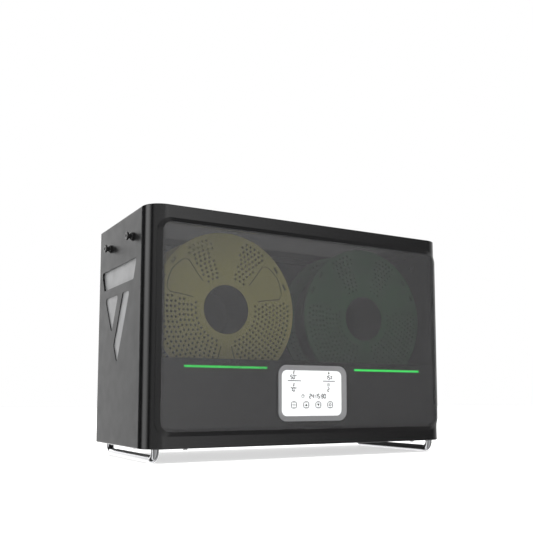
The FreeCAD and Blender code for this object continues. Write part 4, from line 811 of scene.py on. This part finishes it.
# Signs on the keys: three dots, an arrow up, an arrow down and a square
KEY_DOTS, KEY_DOT_RADIUS, KEY_DOT_SIDES = (-1.7, 0.0, 1.7), 0.7, 10
ARROW_UP = [(-11.5, -16.9), (-7.3, -16.9), (-9.4, -13.5)]
ARROW_DOWN = [(7.3, -13.7), (11.5, -13.7), (9.4, -17.1)]
SQUARE = [(26.8, -16.7), (29.6, -16.7), (29.6, -13.9), (26.8, -13.9)]
SQUARE_STROKE = 0.9


def screen_marks():
    """Readings in two columns, a running time and a row of touch keys."""
    low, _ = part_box("display_screen")
    ink = Ink(middle_of("display_screen"), low[1])
    thermometer(ink, LEFT_SIGN, UPPER_SIGN)
    ink.figures("50o", LEFT_READING, UPPER_READING, READING_HIGH)
    thermometer(ink, LEFT_SIGN, LOWER_SIGN)
    ink.figures("70o", LEFT_READING, LOWER_READING, READING_HIGH)
    droplet(ink, DROPLET_ACROSS, DROPLET_UP)
    ink.figures("15%", HUMIDITY_READING, UPPER_READING, READING_HIGH)
    timer_sign(ink, TIMER_ACROSS, LOWER_SIGN)
    ink.figures("2", TIMER_READING, LOWER_READING, READING_HIGH)
    for start, end in (LEFT_RULE, RIGHT_RULE):
        ink.bar((start, RULE), (end, RULE), RULE_WIDE)
    clock_sign(ink, CLOCK_ACROSS, CLOCK_UP)
    ink.figures("24:15:30", TIME_ACROSS, TIME_UP, TIME_HIGH)
    for number in range(KEYS):
        key(ink, FIRST_KEY + KEY_PITCH*number, KEY_UP)
    for dot in KEY_DOTS:
        ink.disc((FIRST_KEY + dot, KEY_UP), KEY_DOT_RADIUS, KEY_DOT_SIDES)
    ink.plate(ARROW_UP)
    ink.plate(ARROW_DOWN)
    ink.loop(SQUARE, SQUARE_STROKE)
    bmesh.ops.recalc_face_normals(ink.mesh, faces=ink.mesh.faces)
    marks = keep("screen_marks", ink.mesh, SCREEN_INK)
    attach(marks, "cabinet")


screen_marks()


# Camera, floor and light
CAMERA_LENS, CAMERA_SENSOR = 49.35, 36
CAMERA_SHIFT = (-0.021, 0.115)
CAMERA_PLACE = (-0.520, -0.917, 0.0746)
CAMERA_WAY = (0.4955, 0.8630, 0.0986)
FLOOR_HALF = 6
FLOOR_ROUGHNESS, FLOOR_GLOW = 0.9, 0.6
FLOOR_MOTTLE = 3.0
FLOOR_DARK, FLOOR_LIGHT = (0.93, 0.93, 0.93), (0.95, 0.95, 0.95)
# Brightness of the studio walls by compass direction, in degrees from +X towards +Y
WALLS = ((0, 0.70), (60, 1.60), (100, 2.30), (110, 1.90), (114, 0.50), (118, 0.25), (122, 0.03),
         (150, 0.04), (157, 1.4), (163, 2.2), (178, 2.3), (186, 1.2), (194, 0.05), (202, 0.08),
         (211, 0.55), (260, 0.64), (288, 1.25), (296, 0.85), (303, 0.45), (312, 0.20), (335, 0.24),
         (360, 0.70))
# The same by height, from straight down at 0 to straight up at 1
HEIGHTS = ((0.0, 1.0), (0.47, 0.97), (0.54, 1.0), (0.62, 1.3), (0.72, 0.8), (0.85, 0.6), (1.0, 0.6))
BRIGHTEST = 2.5
# Lamps: name, place, what they point at, width and height, and power
SOFTBOXES = (("left_softbox", (-1.6, 1.4, 2.0), (-0.2, 0, 0.2), (1.4, 1.2), 12),
             ("front_softbox", (-1.0, -1.5, 1.9), (-0.1, 0, 0.2), (1.2, 0.8), 22),
             ("top_softbox", (0, -0.2, 2.4), (0, 0, 0.2), (2.4, 2.0), 40))


def pointing(way):
    """The rotation of a camera or lamp that points in a direction."""
    return Vector(way).to_track_quat("-Z", "Y").to_euler()


def lay_floor():
    """A pale floor that glows a little and does not show in what reflects."""
    mesh = bmesh.new()
    bmesh.ops.create_grid(mesh, x_segments=1, y_segments=1, size=FLOOR_HALF)
    material, tree, surface = shader("pale_floor", Roughness=FLOOR_ROUGHNESS,
                                     Emission_Color=(1, 1, 1, 1), Emission_Strength=FLOOR_GLOW)
    cloud = mottle(tree, object_point(tree), FLOOR_MOTTLE)
    wire(tree, blend_colours(tree, cloud, FLOOR_DARK, FLOOR_LIGHT), surface.inputs["Base Color"])
    ground = keep("floor", mesh, material)
    ground.visible_glossy = False


def gradient(tree, factor, stops):
    """A brightness that follows a list of stops, as a share of the brightest."""
    ramp = tree.nodes.new("ShaderNodeValToRGB")
    marks = ramp.color_ramp.elements
    first, last = marks[0], marks[1]
    for mark, (_, bright) in ((first, stops[0]), (last, stops[-1])):
        mark.color = (bright/BRIGHTEST,)*3 + (1,)
    for where, bright in stops[1:-1]:
        marks.new(where).color = (bright/BRIGHTEST,)*3 + (1,)
    wire(tree, factor, ramp.inputs[0])
    return ramp.outputs["Color"]


def studio():
    """White to the eye. The box reflects soft walls, with two dark gaps beside a bright strip."""
    world = bpy.data.worlds.new("studio")
    world.use_nodes = True
    tree = world.node_tree
    direction = tree.nodes.new("ShaderNodeTexCoord")
    parts = tree.nodes.new("ShaderNodeSeparateXYZ")
    wire(tree, direction.outputs["Generated"], parts.inputs[0])
    compass = step(tree, "ARCTAN2", parts.outputs["Y"], parts.outputs["X"])
    turn = step(tree, "DIVIDE", step(tree, "WRAP", compass, FULL_TURN, 0.0), FULL_TURN)
    around = gradient(tree, turn, [(angle/360, bright) for angle, bright in WALLS])
    upward = gradient(tree, spread(tree, parts.outputs["Z"], (-1, 1), (0, 1)), HEIGHTS)
    walls = tree.nodes["Background"]
    walls.inputs["Strength"].default_value = BRIGHTEST*BRIGHTEST
    wire(tree, blend_colours(tree, 1.0, around, upward, "MULTIPLY"), walls.inputs["Color"])
    white = tree.nodes.new("ShaderNodeBackground")
    white.inputs["Color"].default_value = (1, 1, 1, 1)
    seen = tree.nodes.new("ShaderNodeLightPath")
    mix = tree.nodes.new("ShaderNodeMixShader")
    wire(tree, seen.outputs["Is Camera Ray"], mix.inputs[0])
    wire(tree, walls.outputs[0], mix.inputs[1])
    wire(tree, white.outputs[0], mix.inputs[2])
    wire(tree, mix.outputs[0], tree.nodes["World Output"].inputs["Surface"])
    scene.world = world


def softbox(name, where, target, size, power):
    """A large soft lamp that is not seen itself."""
    lamp = bpy.data.lights.new(name, "AREA")
    lamp.shape = "RECTANGLE"
    lamp.size, lamp.size_y = size
    lamp.energy = power
    made = bpy.data.objects.new(name, lamp)
    made.location = where
    made.rotation_euler = pointing(Vector(target) - Vector(where))
    made.visible_glossy = False
    made.visible_camera = False
    scene.collection.objects.link(made)


camera = bpy.data.objects.new("camera", bpy.data.cameras.new("camera"))
camera.data.lens = CAMERA_LENS
camera.data.sensor_width = CAMERA_SENSOR
camera.data.shift_x, camera.data.shift_y = CAMERA_SHIFT
camera.location = CAMERA_PLACE
camera.rotation_euler = pointing(CAMERA_WAY)
scene.collection.objects.link(camera)
scene.camera = camera
lay_floor()
studio()
scene.view_settings.view_transform = "Standard"
for lamp in SOFTBOXES:
    softbox(*lamp)
